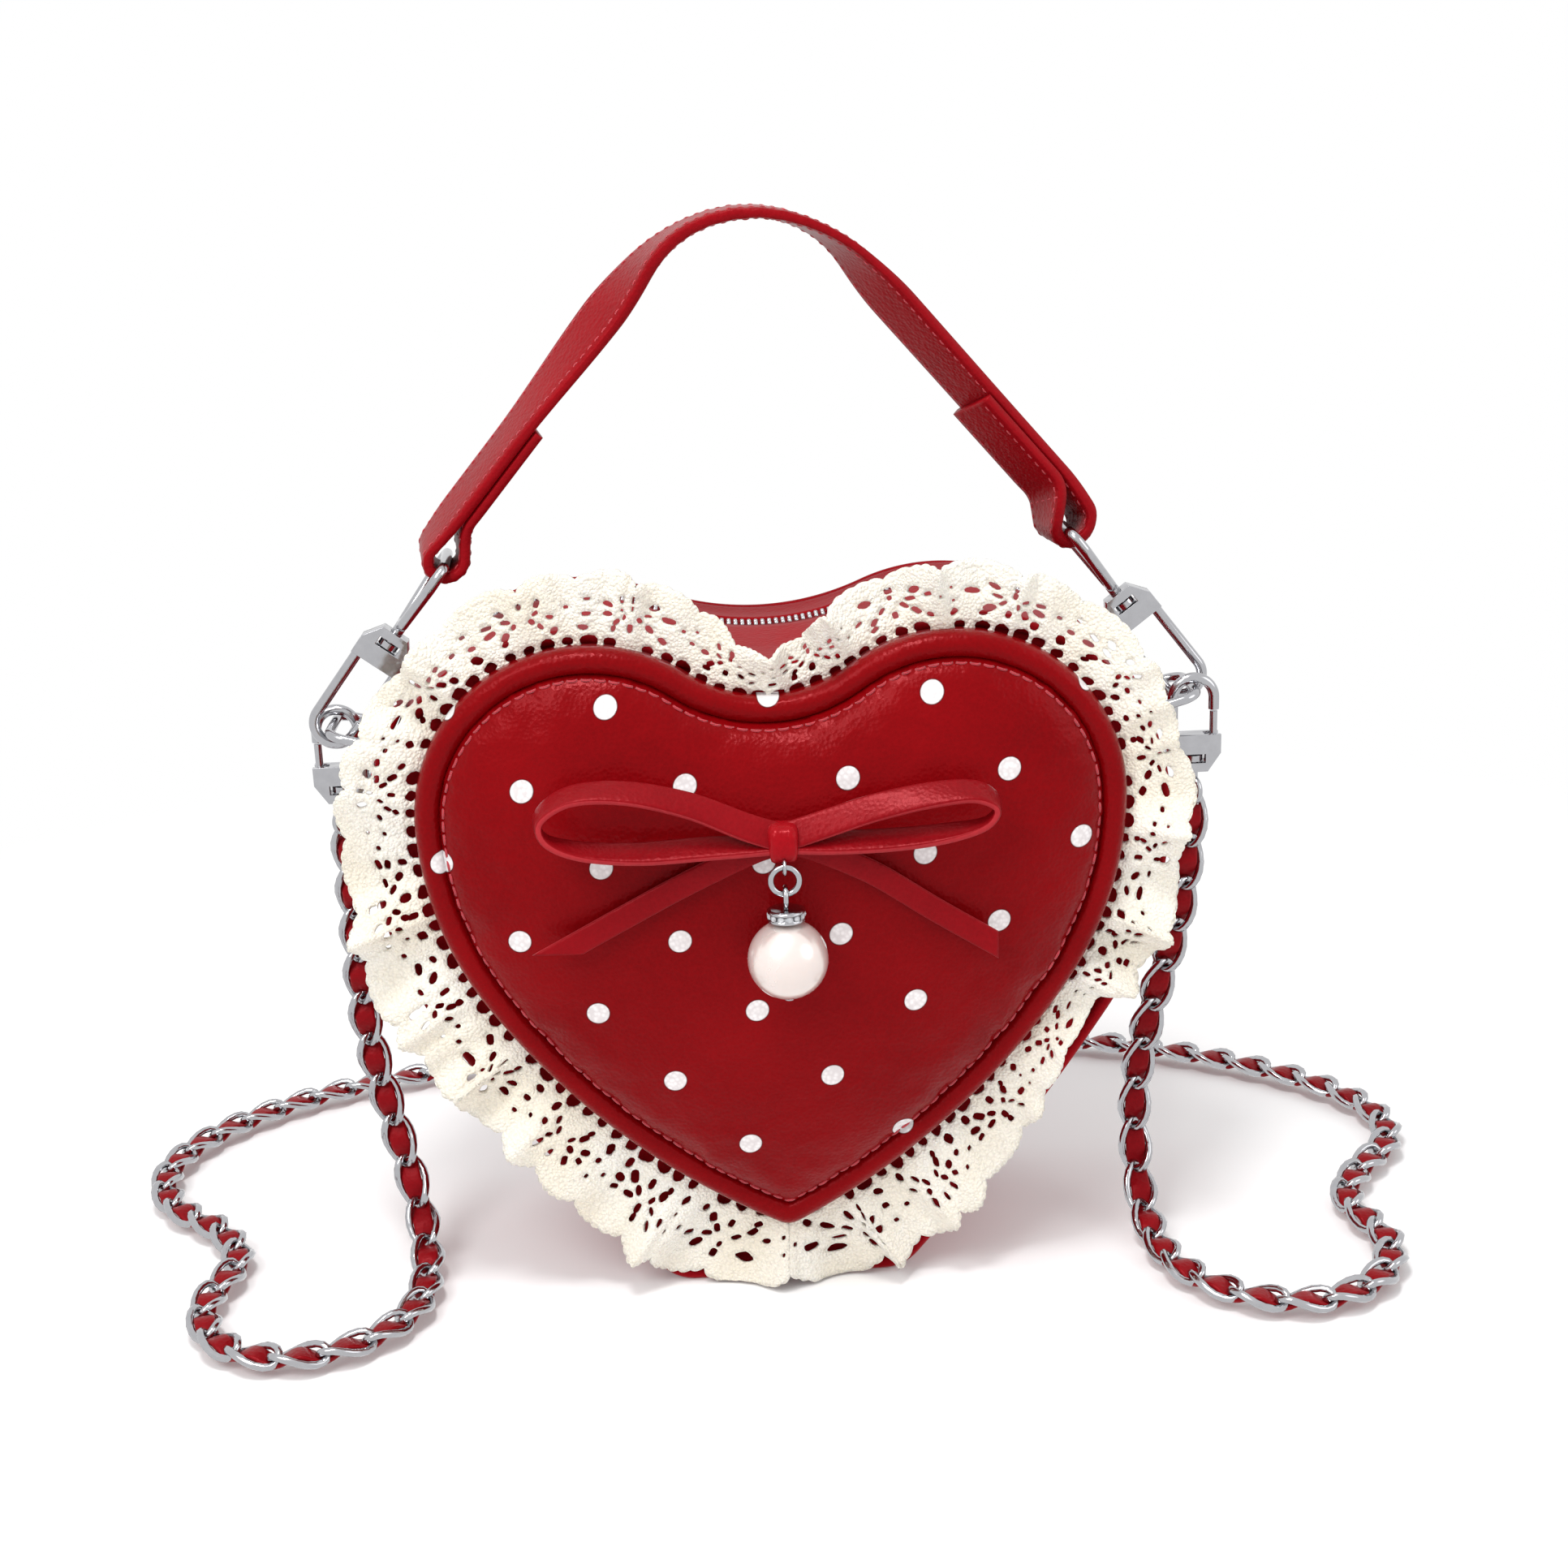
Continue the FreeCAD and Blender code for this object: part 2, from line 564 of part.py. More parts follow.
def make_bow():
    """Two loops on edge, two flat tails, and the knot with the pendant's lug."""
    left, right = BOW_X - KNOT_W / 2, BOW_X + KNOT_W / 2
    back = CROWN_Y - BOW_GAP
    knot = block(left, right, back - KNOT_D, back, KNOT_FOOT, KNOT_FOOT + KNOT_H)
    knot = knot.makeFillet(KNOT_ROUND, knot.Edges)
    reach = LUG_HOLE_R + LUG_WALL
    lug = block(BOW_X - LUG_W / 2, BOW_X + LUG_W / 2, PENDANT_Y - reach, PENDANT_Y + reach,
                KNOT_FOOT - LUG_DROP, BOW_Z)
    middle = V(BOW_X, PENDANT_Y, LUG_HOLE_Z)
    knot = knot.fuse(lug).cut(cylinder(middle - X * LUG_W, middle + X * LUG_W, LUG_HOLE_R))
    save("bow_knot", knot.removeSplitter())

    # Each loop's bends and their radii, as shares of its reach from the knot's middle
    loops = {
        "bow_loop_left": (left, LOOP_LEFT, [
            (-0.48, 0.244, 0.65), (-0.87, 0.293, 0.146), (-1.0, 0.114, 0.081),
            (-0.675, -0.024, 0.488), (-0.382, -0.041, 0.976)]),
        "bow_loop_right": (right, LOOP_RIGHT, [
            (0.439, 0.168, 0.935), (0.832, 0.234, 0.224), (1.0, 0.168, 0.067),
            (0.944, 0.037, 0.075), (0.533, -0.019, 1.121)]),
    }
    upright = Frame(V(BOW_X, LOOP_Y, BOW_Z), X, Z)
    for name, (root, far, turns) in loops.items():
        bends = [(u * far, v * far) for u, v, r in turns]
        points = [(root - BOW_X, LOOP_TOP)] + bends + [(root - BOW_X, LOOP_LOW)]
        save(name, ribbon(points, [r * far for u, v, r in turns], STRIP_T, upright, STRIP_W).cut(knot))

    # Each tail's root and end from the knot's middle
    middle = V(BOW_X, 0, BOW_Z)
    tails = {
        "bow_tail_left": (V(-KNOT_W / 2, 0, TAIL_ROOT), V(-TAIL_LEFT, 0, -TAIL_LEFT_DROP)),
        "bow_tail_right": (V(KNOT_W / 2, 0, TAIL_ROOT), V(TAIL_RIGHT, 0, -TAIL_RIGHT_DROP)),
    }
    for name, (root, end) in tails.items():
        along = Frame(middle + root + Y * TAIL_Y, end - root, Y * -1)
        length = (end - root).Length
        path = [(0, 0), (length / 2, 0), (length, TAIL_LIFT)]
        save(name, ribbon(path, [TAIL_BEND], STRIP_T, along, STRIP_W).cut(knot))


def make_pendant():
    """A jump ring in the lug, and an eye pin that carries the rondelle and the pearl."""
    ring_c = V(BOW_X, PENDANT_Y, LUG_HOLE_Z - RING_R)
    save("jump_ring", Part.makeTorus(RING_R, RING_WIRE, ring_c, Y))
    foot_z = ring_c.z - RING_R
    eye_c = V(BOW_X, PENDANT_Y, foot_z + RING_WIRE + EYE_WIRE + RING_PLAY - EYE_R)
    stack_z = eye_c.z - EYE_R - EYE_WIRE
    top = V(BOW_X, PENDANT_Y, stack_z)
    pearl_c = top - Z * (RONDELLE_T + PEARL_R)
    pearl_foot = pearl_c - Z * PEARL_R
    pin = cylinder(pearl_foot, eye_c - Z * EYE_R, PIN_R)
    head = cylinder(pearl_foot - Z * PIN_HEAD_T, pearl_foot, PIN_HEAD_R)
    save("eye_pin", Part.makeTorus(EYE_R, EYE_WIRE, eye_c, X).fuse([pin, head]).removeSplitter())
    bore = cylinder(pearl_foot - Z, top + Z, PIN_R + PEARL_FIT)
    save("pearl", Part.makeSphere(PEARL_R, pearl_c).cut(bore))

    waist = top - Z * (RONDELLE_T / 2)
    ring = cylinder(top - Z * RONDELLE_T, top, RONDELLE_R).cut(bore)
    spots = [waist + V(cosd(a), sind(a), 0) * (RONDELLE_R + STONE_R - STONE_SINK)
             for a in [360 * k / STONES for k in range(STONES)]]
    stones = [Part.makeSphere(STONE_R, spot) for spot in spots]
    save("rondelle", ring.cut(Part.makeCompound(stones)))
    save("rondelle_stones", Part.makeCompound(stones))
    print("jump ring turns at", V(BOW_X, PENDANT_Y, LUG_HOLE_Z))
    print("pendant turns at", V(BOW_X, PENDANT_Y, foot_z), "pearl", pearl_c)


def opposite(shape):
    """The same piece on the other side: half a turn about the upright through the rings."""
    other = shape.copy()
    other.rotate(V(0, RING_Y, 0), Z, 180)
    return other


def save_pair(name, shape):
    save(name + "_left", shape)
    save(name + "_right", opposite(shape))


TAB_OUT = LOBE_R + TAB_T
BAR_OUT = TAB_OUT + D_WIRE + D_FIT
RING_OUT = V(-cosd(RING_ANGLE), 0, sind(RING_ANGLE))
BAR_AT = V(-LOBE_X, RING_Y, LOBE_Z) + RING_OUT * BAR_OUT
RING_DIR = V(-cosd(D_LEAN), 0, sind(D_LEAN))
RING_FRONT = BAR_AT + RING_DIR * D_DEPTH


def make_rings():
    """Leather tabs on the gusset's sides, each with a D-ring and a rivet."""
    flat = Frame(BAR_AT, RING_DIR, Y)
    corners = [flat.at(0, -D_HALF), flat.at(0, D_HALF), flat.at(D_DEPTH, D_HALF),
               flat.at(D_DEPTH, -D_HALF)]
    save_pair("d_ring", closed_tube(corners, [D_BAR_ROUND, D_BAR_ROUND, D_ROUND, D_ROUND], D_WIRE))

    y0, y1 = RING_Y - TAB_W / 2, RING_Y + TAB_W / 2
    plate = lobe_sector(-1, LOBE_R, TAB_OUT, RING_ANGLE, TAB_HALF, y0, y1)
    wrap = cylinder(V(BAR_AT.x, y0, BAR_AT.z), V(BAR_AT.x, y1, BAR_AT.z), D_WIRE + D_FIT + TAB_WALL)
    core = Part.makeCylinder(LOBE_R, TAB_W, V(-LOBE_X, y0, LOBE_Z), Y)
    bore = cylinder(BAR_AT - Y * TAB_W, BAR_AT + Y * TAB_W, D_WIRE + D_FIT)
    save_pair("d_ring_tab", plate.fuse(wrap).cut(core).cut(bore).removeSplitter())

    angle = RING_ANGLE - RIVET_DROP
    out = V(-cosd(angle), 0, sind(angle))
    seat = V(-LOBE_X, RING_Y, LOBE_Z) + out * TAB_OUT
    save_pair("tab_rivet", cylinder(seat, seat + out * RIVET_T, RIVET_R))


def slab(frame, corners, w0, w1):
    outline = Part.makePolygon([frame.at(u, v, w0) for u, v in corners + corners[:1]])
    return Part.Face(outline).extrude(frame.w * (w1 - w0))


def oblong(u0, u1, v0, v1):
    return [(u0, v0), (u1, v0), (u1, v1), (u0, v1)]


def snap_hook(f, bow, play):
    """A hook whose bow holds the ring's wire at the frame's origin, and its sprung gate."""
    top = bow + BODY_L
    low = -D_WIRE - play - HOOK_WIRE
    corners = [f.at(HOOK_R, bow + HOOK_ROOT), f.at(HOOK_R, low), f.at(-HOOK_R, low), f.at(-HOOK_R, HOOK_TIP)]
    wire = tube(corners, [HOOK_R, HOOK_R], HOOK_WIRE)
    waist = bow + BODY_L / 2
    body = slab(f, [(-BODY_HALF, bow), (BODY_HALF, bow), (BODY_HALF, waist), (NECK_HALF, top),
                    (-NECK_HALF, top), (-BODY_HALF, waist)], -BODY_T / 2, BODY_T / 2)
    pivot = bow + GATE_EYE_R
    room = HEAD_R + HEAD_GAP
    plate = top - PLATE_T
    window = slab(f, oblong(-room, room, plate - HEAD_T - 2 * HEAD_GAP, plate), -BODY_T, BODY_T)
    slot = slab(f, oblong(-BODY_HALF - GATE_EYE_R, GATE_ROOM - BODY_HALF, bow - HOOK_WIRE,
                          pivot + GATE_EYE_R + HEAD_GAP), -GATE_SLOT / 2, GATE_SLOT / 2)
    bore = cylinder(f.at(0, plate - HEAD_GAP), f.at(0, top + OVER), POST_R + PIN_FIT)
    pin = cylinder(f.at(-HOOK_R, pivot, -BODY_T / 2), f.at(-HOOK_R, pivot, BODY_T / 2), GATE_PIN_R)
    hook = body.cut(window).cut(slot).cut(bore).fuse([wire, pin])

    rod = cylinder(f.at(-HOOK_R, HOOK_TIP + GATE_GAP), f.at(-HOOK_R, pivot), GATE_R)
    eye = cylinder(f.at(-HOOK_R, pivot, -GATE_EYE_T / 2), f.at(-HOOK_R, pivot, GATE_EYE_T / 2), GATE_EYE_R)
    hole = cylinder(f.at(-HOOK_R, pivot, -BODY_T), f.at(-HOOK_R, pivot, BODY_T), GATE_PIN_R + PIN_FIT)
    gate = rod.fuse(eye).cut(hole)
    return hook.removeSplitter(), gate.removeSplitter(), f.at(-HOOK_R, pivot)


def swivel_post(f, bow, foot):
    """The headed post that turns in the top plate of a hook's body."""
    top = bow + BODY_L
    head_top = top - PLATE_T - HEAD_GAP
    head = cylinder(f.at(0, head_top - HEAD_T), f.at(0, head_top), HEAD_R)
    return head.fuse(cylinder(f.at(0, head_top), f.at(0, foot), POST_R))


HANDLE = Frame(V(0, RING_Y, 0), V(cosd(HANDLE_YAW), sind(HANDLE_YAW), 0), Z)
LEFT_BAR = HANDLE.at(-HANDLE_HALF, HANDLE_BAR_Z)
LEFT_WIRE = RING_FRONT - Y * HOOK_Y
HOOK_AXIS = (LEFT_BAR - LEFT_WIRE).normalize()


def make_handle():
    """The strap folded around two oval loops, and its two swivel snap hooks."""
    normal = (Y - HOOK_AXIS * Y.dot(HOOK_AXIS)).normalize()
    hook_frame = Frame(LEFT_WIRE, HOOK_AXIS.cross(normal), HOOK_AXIS)
    hook, gate, pivot = snap_hook(hook_frame, HANDLE_BOW, HANDLE_PLAY)
    save_pair("handle_hook", hook)
    save_pair("handle_gate", gate)
    print("handle ring wire at", LEFT_WIRE, "hook axis", HOOK_AXIS)
    print("handle gate pivot", pivot, "axis", hook_frame.w)

    across = (HANDLE.w - HOOK_AXIS * HANDLE.w.dot(HOOK_AXIS)).normalize()
    loop_frame = Frame(LEFT_WIRE, across, HOOK_AXIS)
    bar = (LEFT_BAR - LEFT_WIRE).Length
    foot = HANDLE_BOW + BODY_L + LOOP_WIRE + POST_SHOW
    half = STRAP_W / 2 + LOOP_ROOM + LOOP_WIRE
    corners = [(-half, bar), (half, bar), (half, bar - LOOP_SIDE), (LOOP_FOOT, foot), (-LOOP_FOOT, foot),
               (-half, bar - LOOP_SIDE)]
    rounds = [LOOP_ROUND, LOOP_ROUND, LOOP_ROUND, LOOP_FOOT_ROUND, LOOP_FOOT_ROUND, LOOP_ROUND]
    loop = closed_tube([loop_frame.at(u, v) for u, v in corners], rounds, LOOP_WIRE)
    save_pair("handle_loop", loop.fuse(swivel_post(loop_frame, HANDLE_BOW, foot)).removeSplitter())

    fold = FOLD_R + STRAP_T / 2
    outer, inner = HANDLE_HALF + fold, HANDLE_HALF - fold
    fold_z = HANDLE_BAR_Z + FOLD_R - LOOP_WIRE - FOLD_REST - fold
    knee = fold_z + fold + LEG_RISE
    # The legs run straight from the knees to the round top
    rise = HANDLE_TOP - HANDLE_ROUND - knee
    tilt = math.degrees(math.atan2(outer, rise) - math.asin(HANDLE_ROUND / math.hypot(outer, rise)))
    peak = knee + outer / math.tan(math.radians(tilt))
    knee_round = LEG_BEND * LEG_RISE / math.tan(math.radians(tilt / 2))
    lean = V(-sind(tilt), cosd(tilt), 0)
    step_in = V(-lean.y, lean.x, 0) * (STRAP_T + FLAP_GAP)
    flap_line = V(outer, knee, 0) + step_in
    climb = (flap_line.x - inner) / sind(tilt)
    flap_knee = flap_line + lean * climb
    flap_end = flap_knee + lean * FLAP_L
    leg = [(flap_end.x, flap_end.y), (flap_knee.x, flap_knee.y), (inner, fold_z), (outer, fold_z),
           (outer, knee)]
    leg_rounds = [FLAP_ROUND, fold, fold, knee_round]
    points = leg + [(0, peak)] + [(-u, v) for u, v in leg[::-1]]
    rounds = leg_rounds + [HANDLE_ROUND] + leg_rounds[::-1]
    save("handle_strap", ribbon(points, rounds, STRAP_T, HANDLE, STRAP_W))


# The chain strap's route: down from the left ring, over the floor, behind the purse and up
# to the right ring. Points on the floor have no height of their own.
LEFT_HANG = [(-112, 0.4, 94), (-112, -1, 64), (-106, -3, 35.5), (-100, -9, 13)]
LEFT_FLOOR = [(-96, -29), (-97, -50), (-109, -66), (-130, -72), (-149, -61), (-155, -40), (-147, -18),
              (-158, 2), (-174, 15), (-181, 35), (-176, 56), (-161, 75), (-138, 91), (-112, 101),
              (-83, 107), (-52, 111)]
RIGHT_FLOOR = [(-21, 113), (10, 112.5), (41, 110), (71, 106.5), (99, 100.5), (124, 90.5), (147, 76.5),
               (167, 59), (179.5, 38), (178, 16), (163, 0), (153, -18), (161, -39), (154, -60),
               (135, -72), (114, -67), (101, -50), (98, -32)]
RIGHT_HANG = [(97.8, -16, 8.5), (97.5, -7, 22), (98, -6, 42), (103.5, -7.5, 67), (110.8, -8.4, 93)]


def make_chain():
    """Two small snap hooks, their eyes, the links, and the leather woven through them."""
    hang = RING_FRONT + Y * HOOK_Y
    down = Frame(hang, X, Z * -1)
    hook, gate, pivot = snap_hook(down, CHAIN_BOW, CHAIN_PLAY)
    save_pair("chain_hook", hook)
    save_pair("chain_gate", gate)
    print("chain hook turns at", hang, "gate pivot", pivot, "axis", down.w)

    eye_v = CHAIN_BOW + BODY_L + POST_SHOW + CHAIN_EYE_WIRE + CHAIN_EYE_R
    eye_c = down.at(0, eye_v)

    play = LINK_WIRE + CHAIN_EYE_WIRE + HEAD_GAP
    first = LINK_L / 2 + CHAIN_EYE_R - play
    begin = CHAIN_EYE_R + CHAIN_EYE_WIRE + HEAD_GAP
    start = eye_c - Z * begin
    end = V(-start.x, 2 * RING_Y - start.y, start.z)
    floor = [V(x, y, CHAIN_FLOOR) for x, y in LEFT_FLOOR + RIGHT_FLOOR]
    route = [start] + [V(*p) for p in LEFT_HANG] + floor + [V(*p) for p in RIGHT_HANG] + [end]
    radii = []
    for before, here, after in zip(route, route[1:], route[2:]):
        turn = (here - before).getAngle(after - here)
        radii.append(ROUND_SHARE * min((here - before).Length, (after - here).Length) / math.tan(turn / 2))
    print("chain radii", [round(r, 1) for r in radii])
    path = path_wire(route, radii)
    leather = tube(route, radii, LEATHER_R)
    print("chain length %.1f" % path.Length, "volume ratio %.4f"
          % (leather.Volume / (math.pi * LEATHER_R ** 2 * path.Length)))
    save("chain_leather", leather)

    half_l, half_w = LINK_L / 2, LINK_W / 2
    corners = [V(-half_l, half_w, 0), V(half_l, half_w, 0), V(half_l, -half_w, 0), V(-half_l, -half_w, 0)]
    link = closed_tube(corners, [half_w] * 4, LINK_WIRE)
    lead = first - begin
    count = round((path.Length - 2 * lead) / LINK_PITCH) + 1
    gap = (path.Length - 2 * lead) / (count - 1)
    links, lays = [], []
    side = X
    for k in range(count):
        spot, along = along_path(path, lead + k * gap)
        side = (side - along * side.dot(along)).normalize()
        lay = FreeCAD.Rotation(along, LINK_LAY if k % 2 == 0 else -LINK_LAY).multVec(side)
        turn = FreeCAD.Rotation(along, lay, along.cross(lay), "XYZ")
        piece = link.copy()
        piece.Placement = FreeCAD.Placement(spot, turn)
        links.append(piece)
        lays.append(lay)
    save("chain_links", Part.makeCompound(links))
    print("links", count, "pitch %.2f" % gap)

    # Each eye stands square to the link that it holds
    post = swivel_post(down, CHAIN_BOW, eye_v - CHAIN_EYE_R)
    left_eye = Part.makeTorus(CHAIN_EYE_R, CHAIN_EYE_WIRE, eye_c, V(lays[0].x, lays[0].y, 0))
    save("chain_eye_left", left_eye.fuse(post).removeSplitter())
    right_c = V(-eye_c.x, 2 * RING_Y - eye_c.y, eye_c.z)
    right_eye = Part.makeTorus(CHAIN_EYE_R, CHAIN_EYE_WIRE, right_c, V(lays[-1].x, lays[-1].y, 0))
    save("chain_eye_right", right_eye.fuse(opposite(post)).removeSplitter())


def along_path(path, distance):
    """The point and direction at a distance along a path."""
    left = distance
    for edge in path.OrderedEdges:
        if left <= edge.Length:
            share = edge.getParameterByLength(left)
            return edge.valueAt(share), edge.tangentAt(share)
        left -= edge.Length
    last = path.OrderedEdges[-1]
    return last.valueAt(last.LastParameter), last.tangentAt(last.LastParameter)


make_shell()
make_zip_slider()
make_padded_heart()
make_lace()
make_bow()
make_pendant()
make_rings()
make_handle()
make_chain()
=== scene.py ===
import json
import math
import random

import bmesh
import bpy
import numpy as np
from bpy.props import FloatProperty, FloatVectorProperty, IntProperty, PointerProperty
from mathutils import Matrix, Vector, noise
from mathutils.bvhtree import BVHTree
from mathutils.geometry import delaunay_2d_cdt

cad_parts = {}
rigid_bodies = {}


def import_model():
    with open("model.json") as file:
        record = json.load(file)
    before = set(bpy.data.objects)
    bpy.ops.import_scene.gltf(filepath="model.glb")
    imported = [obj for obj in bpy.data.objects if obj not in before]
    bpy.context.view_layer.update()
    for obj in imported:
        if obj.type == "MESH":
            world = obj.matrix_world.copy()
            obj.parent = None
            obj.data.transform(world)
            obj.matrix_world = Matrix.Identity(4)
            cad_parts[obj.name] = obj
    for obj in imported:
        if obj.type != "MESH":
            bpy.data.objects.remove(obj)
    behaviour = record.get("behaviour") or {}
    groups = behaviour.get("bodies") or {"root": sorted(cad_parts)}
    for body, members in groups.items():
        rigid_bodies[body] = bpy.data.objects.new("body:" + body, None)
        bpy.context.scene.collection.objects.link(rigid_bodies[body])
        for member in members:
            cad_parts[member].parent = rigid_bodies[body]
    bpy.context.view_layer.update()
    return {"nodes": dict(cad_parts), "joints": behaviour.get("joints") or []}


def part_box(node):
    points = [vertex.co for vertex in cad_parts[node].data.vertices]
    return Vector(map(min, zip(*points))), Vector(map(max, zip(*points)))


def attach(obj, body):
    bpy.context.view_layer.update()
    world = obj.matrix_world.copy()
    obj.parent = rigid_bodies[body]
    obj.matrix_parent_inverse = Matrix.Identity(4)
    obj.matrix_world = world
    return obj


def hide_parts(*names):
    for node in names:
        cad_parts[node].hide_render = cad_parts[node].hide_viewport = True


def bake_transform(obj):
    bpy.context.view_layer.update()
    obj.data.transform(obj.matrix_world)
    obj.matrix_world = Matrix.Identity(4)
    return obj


bl_info = {
    "name": "Heart purse looks",
    "version": (1, 0, 0),
    "blender": (4, 5, 0),
    "location": "View3D > Sidebar > Purse",
    "description": "Leather, lace, chain and metal for a heart shaped purse, built around its packed frame",
    "category": "Object",
}

for left_over in list(bpy.data.objects):
    bpy.data.objects.remove(left_over)
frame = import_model()

# Shapes are worked out in millimetres and turned into metres as their meshes are made
MM = 0.001


def box(node):
    """A CAD node's lowest and highest corners in millimetres."""
    low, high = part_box(node)
    return np.array(low) / MM, np.array(high) / MM


def joint(name):
    """A joint's place in millimetres and its axis."""
    found = next(j for j in frame["joints"] if j["name"] == name)
    return np.array(found["pos_m"]) / MM, np.array(found["axis"], float)


# Places taken from the frame
FRONT_Y = box("front_bead")[0][1]
BACK_Y = box("back_bead_lower")[1][1]
BEAD = box("front_bead")[1][1] - FRONT_Y
PAD_BACK = box("heart_rim")[1][1]
RIM_FRONT = box("heart_rim")[0][1]
CROWN_Y = box("heart_pad")[0][1]
SPLIT_Z = box("gusset")[1][2]
ZIP_Y = joint("zip_travel")[0][1]
RING_Y = (box("d_ring_left")[0][1] + box("d_ring_left")[1][1]) / 2


class Outline:
    """A heart of tangent arcs in the XZ plane, with its parallel lines, in millimetres."""

    def __init__(self, lobe, lobe_r, dip_z, side_r, low_r, foot, foot_r, foot_min):
        rise = dip_z - lobe[1]
        self.lobe, self.lobe_r = lobe, lobe_r
        self.dip_r = (lobe[0] ** 2 + rise ** 2 - lobe_r ** 2) / (2 * (lobe_r - rise))
        self.dip_z = dip_z + self.dip_r
        self.side_x, self.side_r = lobe[0] + lobe_r - side_r, side_r
        self.low_r = low_r
        self.foot_half, self.foot_r, self.foot_min = foot[0], foot_r, foot_min
        # The long lower arc touches the side's arc and the foot's corner
        side_c = np.array([self.side_x, lobe[1]])
        line = np.array([foot[0], foot[1] + foot_r]) - side_c
        gap = np.linalg.norm(line)
        step = line / gap
        near, far = low_r - side_r, low_r - foot_r
        along = (near ** 2 - far ** 2 + gap ** 2) / (2 * gap)
        across = math.sqrt(near ** 2 - along ** 2)
        self.low = side_c + step * along + np.array([step[1], -step[0]]) * across
        normal = side_c - self.low
        self.side_turn = math.degrees(math.atan2(-normal[1], normal[0]))
        self.spans = [r * math.radians(abs(b - a)) for c, r, a, b in self.arcs(0.0)]
        self.half = sum(self.spans) + self.foot_half

    def arcs(self, off):
        """The right half from the dip to the foot: centre, radius, first and last degrees."""
        r = max(self.foot_r + off, self.foot_min)
        drop = math.sqrt((self.low_r + off - r) ** 2 - (self.low[0] - self.foot_half) ** 2)
        to_lobe = math.degrees(math.atan2(self.lobe[1] - self.dip_z, self.lobe[0]))
        to_foot = math.degrees(math.atan2(-drop, self.foot_half - self.low[0]))
        return [
            ((0.0, self.dip_z), self.dip_r - off, -90.0, to_lobe),
            (self.lobe, self.lobe_r + off, 180.0 + to_lobe, 0.0),
            ((self.side_x, self.lobe[1]), self.side_r + off, 0.0, -self.side_turn),
            (tuple(self.low), self.low_r + off, -self.side_turn, to_foot),
            ((self.foot_half, self.low[1] - drop), r, to_foot, -90.0),
        ]

    def walk(self, off, shares):
        """Points and outward normals, as x and z, at shares of the way round from the dip."""
        arcs = self.arcs(off)
        spots, normals = [], []
        for share in np.asarray(shares) % 1.0:
            side = 1 if share <= 0.5 else -1
            left = 2 * self.half * (share if side == 1 else 1 - share)
            k = 0
            while k < len(arcs) and left > self.spans[k]:
                left -= self.spans[k]
                k += 1
            if k == len(arcs):
                c, r = arcs[-1][:2]
                spots.append((side * max(self.foot_half - left, 0.0), c[1] - r))
                normals.append((0.0, -1.0))
                continue
            c, r, a, b = arcs[k]
            t = math.radians(a + (b - a) * left / self.spans[k])
            out = (math.cos(t), math.sin(t))
            flip = -1 if k == 0 else 1
            spots.append((side * (c[0] + r * out[0]), c[1] + r * out[1]))
            normals.append((side * flip * out[0], flip * out[1]))
        return np.array(spots), np.array(normals)


BODY = Outline((49.0, 126.0), 52.0, 168.0, 100.0, 603.0, (25.0, 0.0), 12.0, 0.5)
PAD = Outline((45.0, 132.5), 43.5, 161.6, 89.0, 186.0, (0.0, 19.0), 6.0, 2.0)


# Mesh helpers


def new_object(name, data):
    """An object for some data, linked into the scene."""
    piece = bpy.data.objects.new(name, data)
    bpy.context.scene.collection.objects.link(piece)
    return piece


def evaluated(piece):
    """The piece as its modifiers leave it."""
    return piece.evaluated_get(bpy.context.evaluated_depsgraph_get())


def points_of(mesh):
    """A mesh's points, in metres."""
    return np.array([v.co for v in mesh.vertices])


def add_mesh(name, points, faces, material=None, smooth=True):
    """A piece from points in millimetres and faces."""
    mesh = bpy.data.meshes.new(name)
    corners = (np.asarray(points, float) * MM).tolist()
    mesh.from_pydata(corners, [], [tuple(int(i) for i in f) for f in faces])
    mesh.polygons.foreach_set("use_smooth", [smooth] * len(mesh.polygons))
    mesh.update()
    if material:
        mesh.materials.append(material)
    return new_object(name, mesh)


def close_up(piece, weld=0.01):
    """Merge points that lie on each other and turn the faces outwards."""
    work = bmesh.new()
    work.from_mesh(piece.data)
    bmesh.ops.remove_doubles(work, verts=work.verts, dist=weld * MM)
    bmesh.ops.recalc_face_normals(work, faces=work.faces)
    work.to_mesh(piece.data)
    work.free()
    return piece


def closed_mesh(name, points, faces, look=None, weld=0.01):
    """A closed piece in one of the purse's finishes, by its name."""
    return close_up(add_mesh(name, points, faces, finish(look) if look else None), weld)


def modify(piece, kind, **settings):
    """Apply one modifier to the piece's mesh."""
    modifier = piece.modifiers.new(kind.lower(), kind)
    for key, value in settings.items():
        setattr(modifier, key, value)
    mesh = bpy.data.meshes.new_from_object(evaluated(piece))
    piece.modifiers.remove(modifier)
    old = piece.data
    piece.data = mesh
    bpy.data.meshes.remove(old)
    return piece


def belongs(piece, body, slot, *nodes):
    """The piece rides on a body and stands for CAD nodes, which are hidden; slot is not used."""
    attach(piece, body)
    if nodes:
        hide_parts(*nodes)
    return piece


def on_bag(piece, slot, *nodes):
    """The piece is fixed to the bag itself."""
    return belongs(piece, "bag", slot, *nodes)


def ring_faces(rows, cols, loop=False):
    """Quads between rings of points; a loop joins the last ring to the first."""
    faces = []
    for i in range(rows if loop else rows - 1):
        for j in range(cols):
            a, b = i * cols, (i + 1) % rows * cols
            k = (j + 1) % cols
            faces.append((a + j, a + k, b + k, b + j))
    return faces


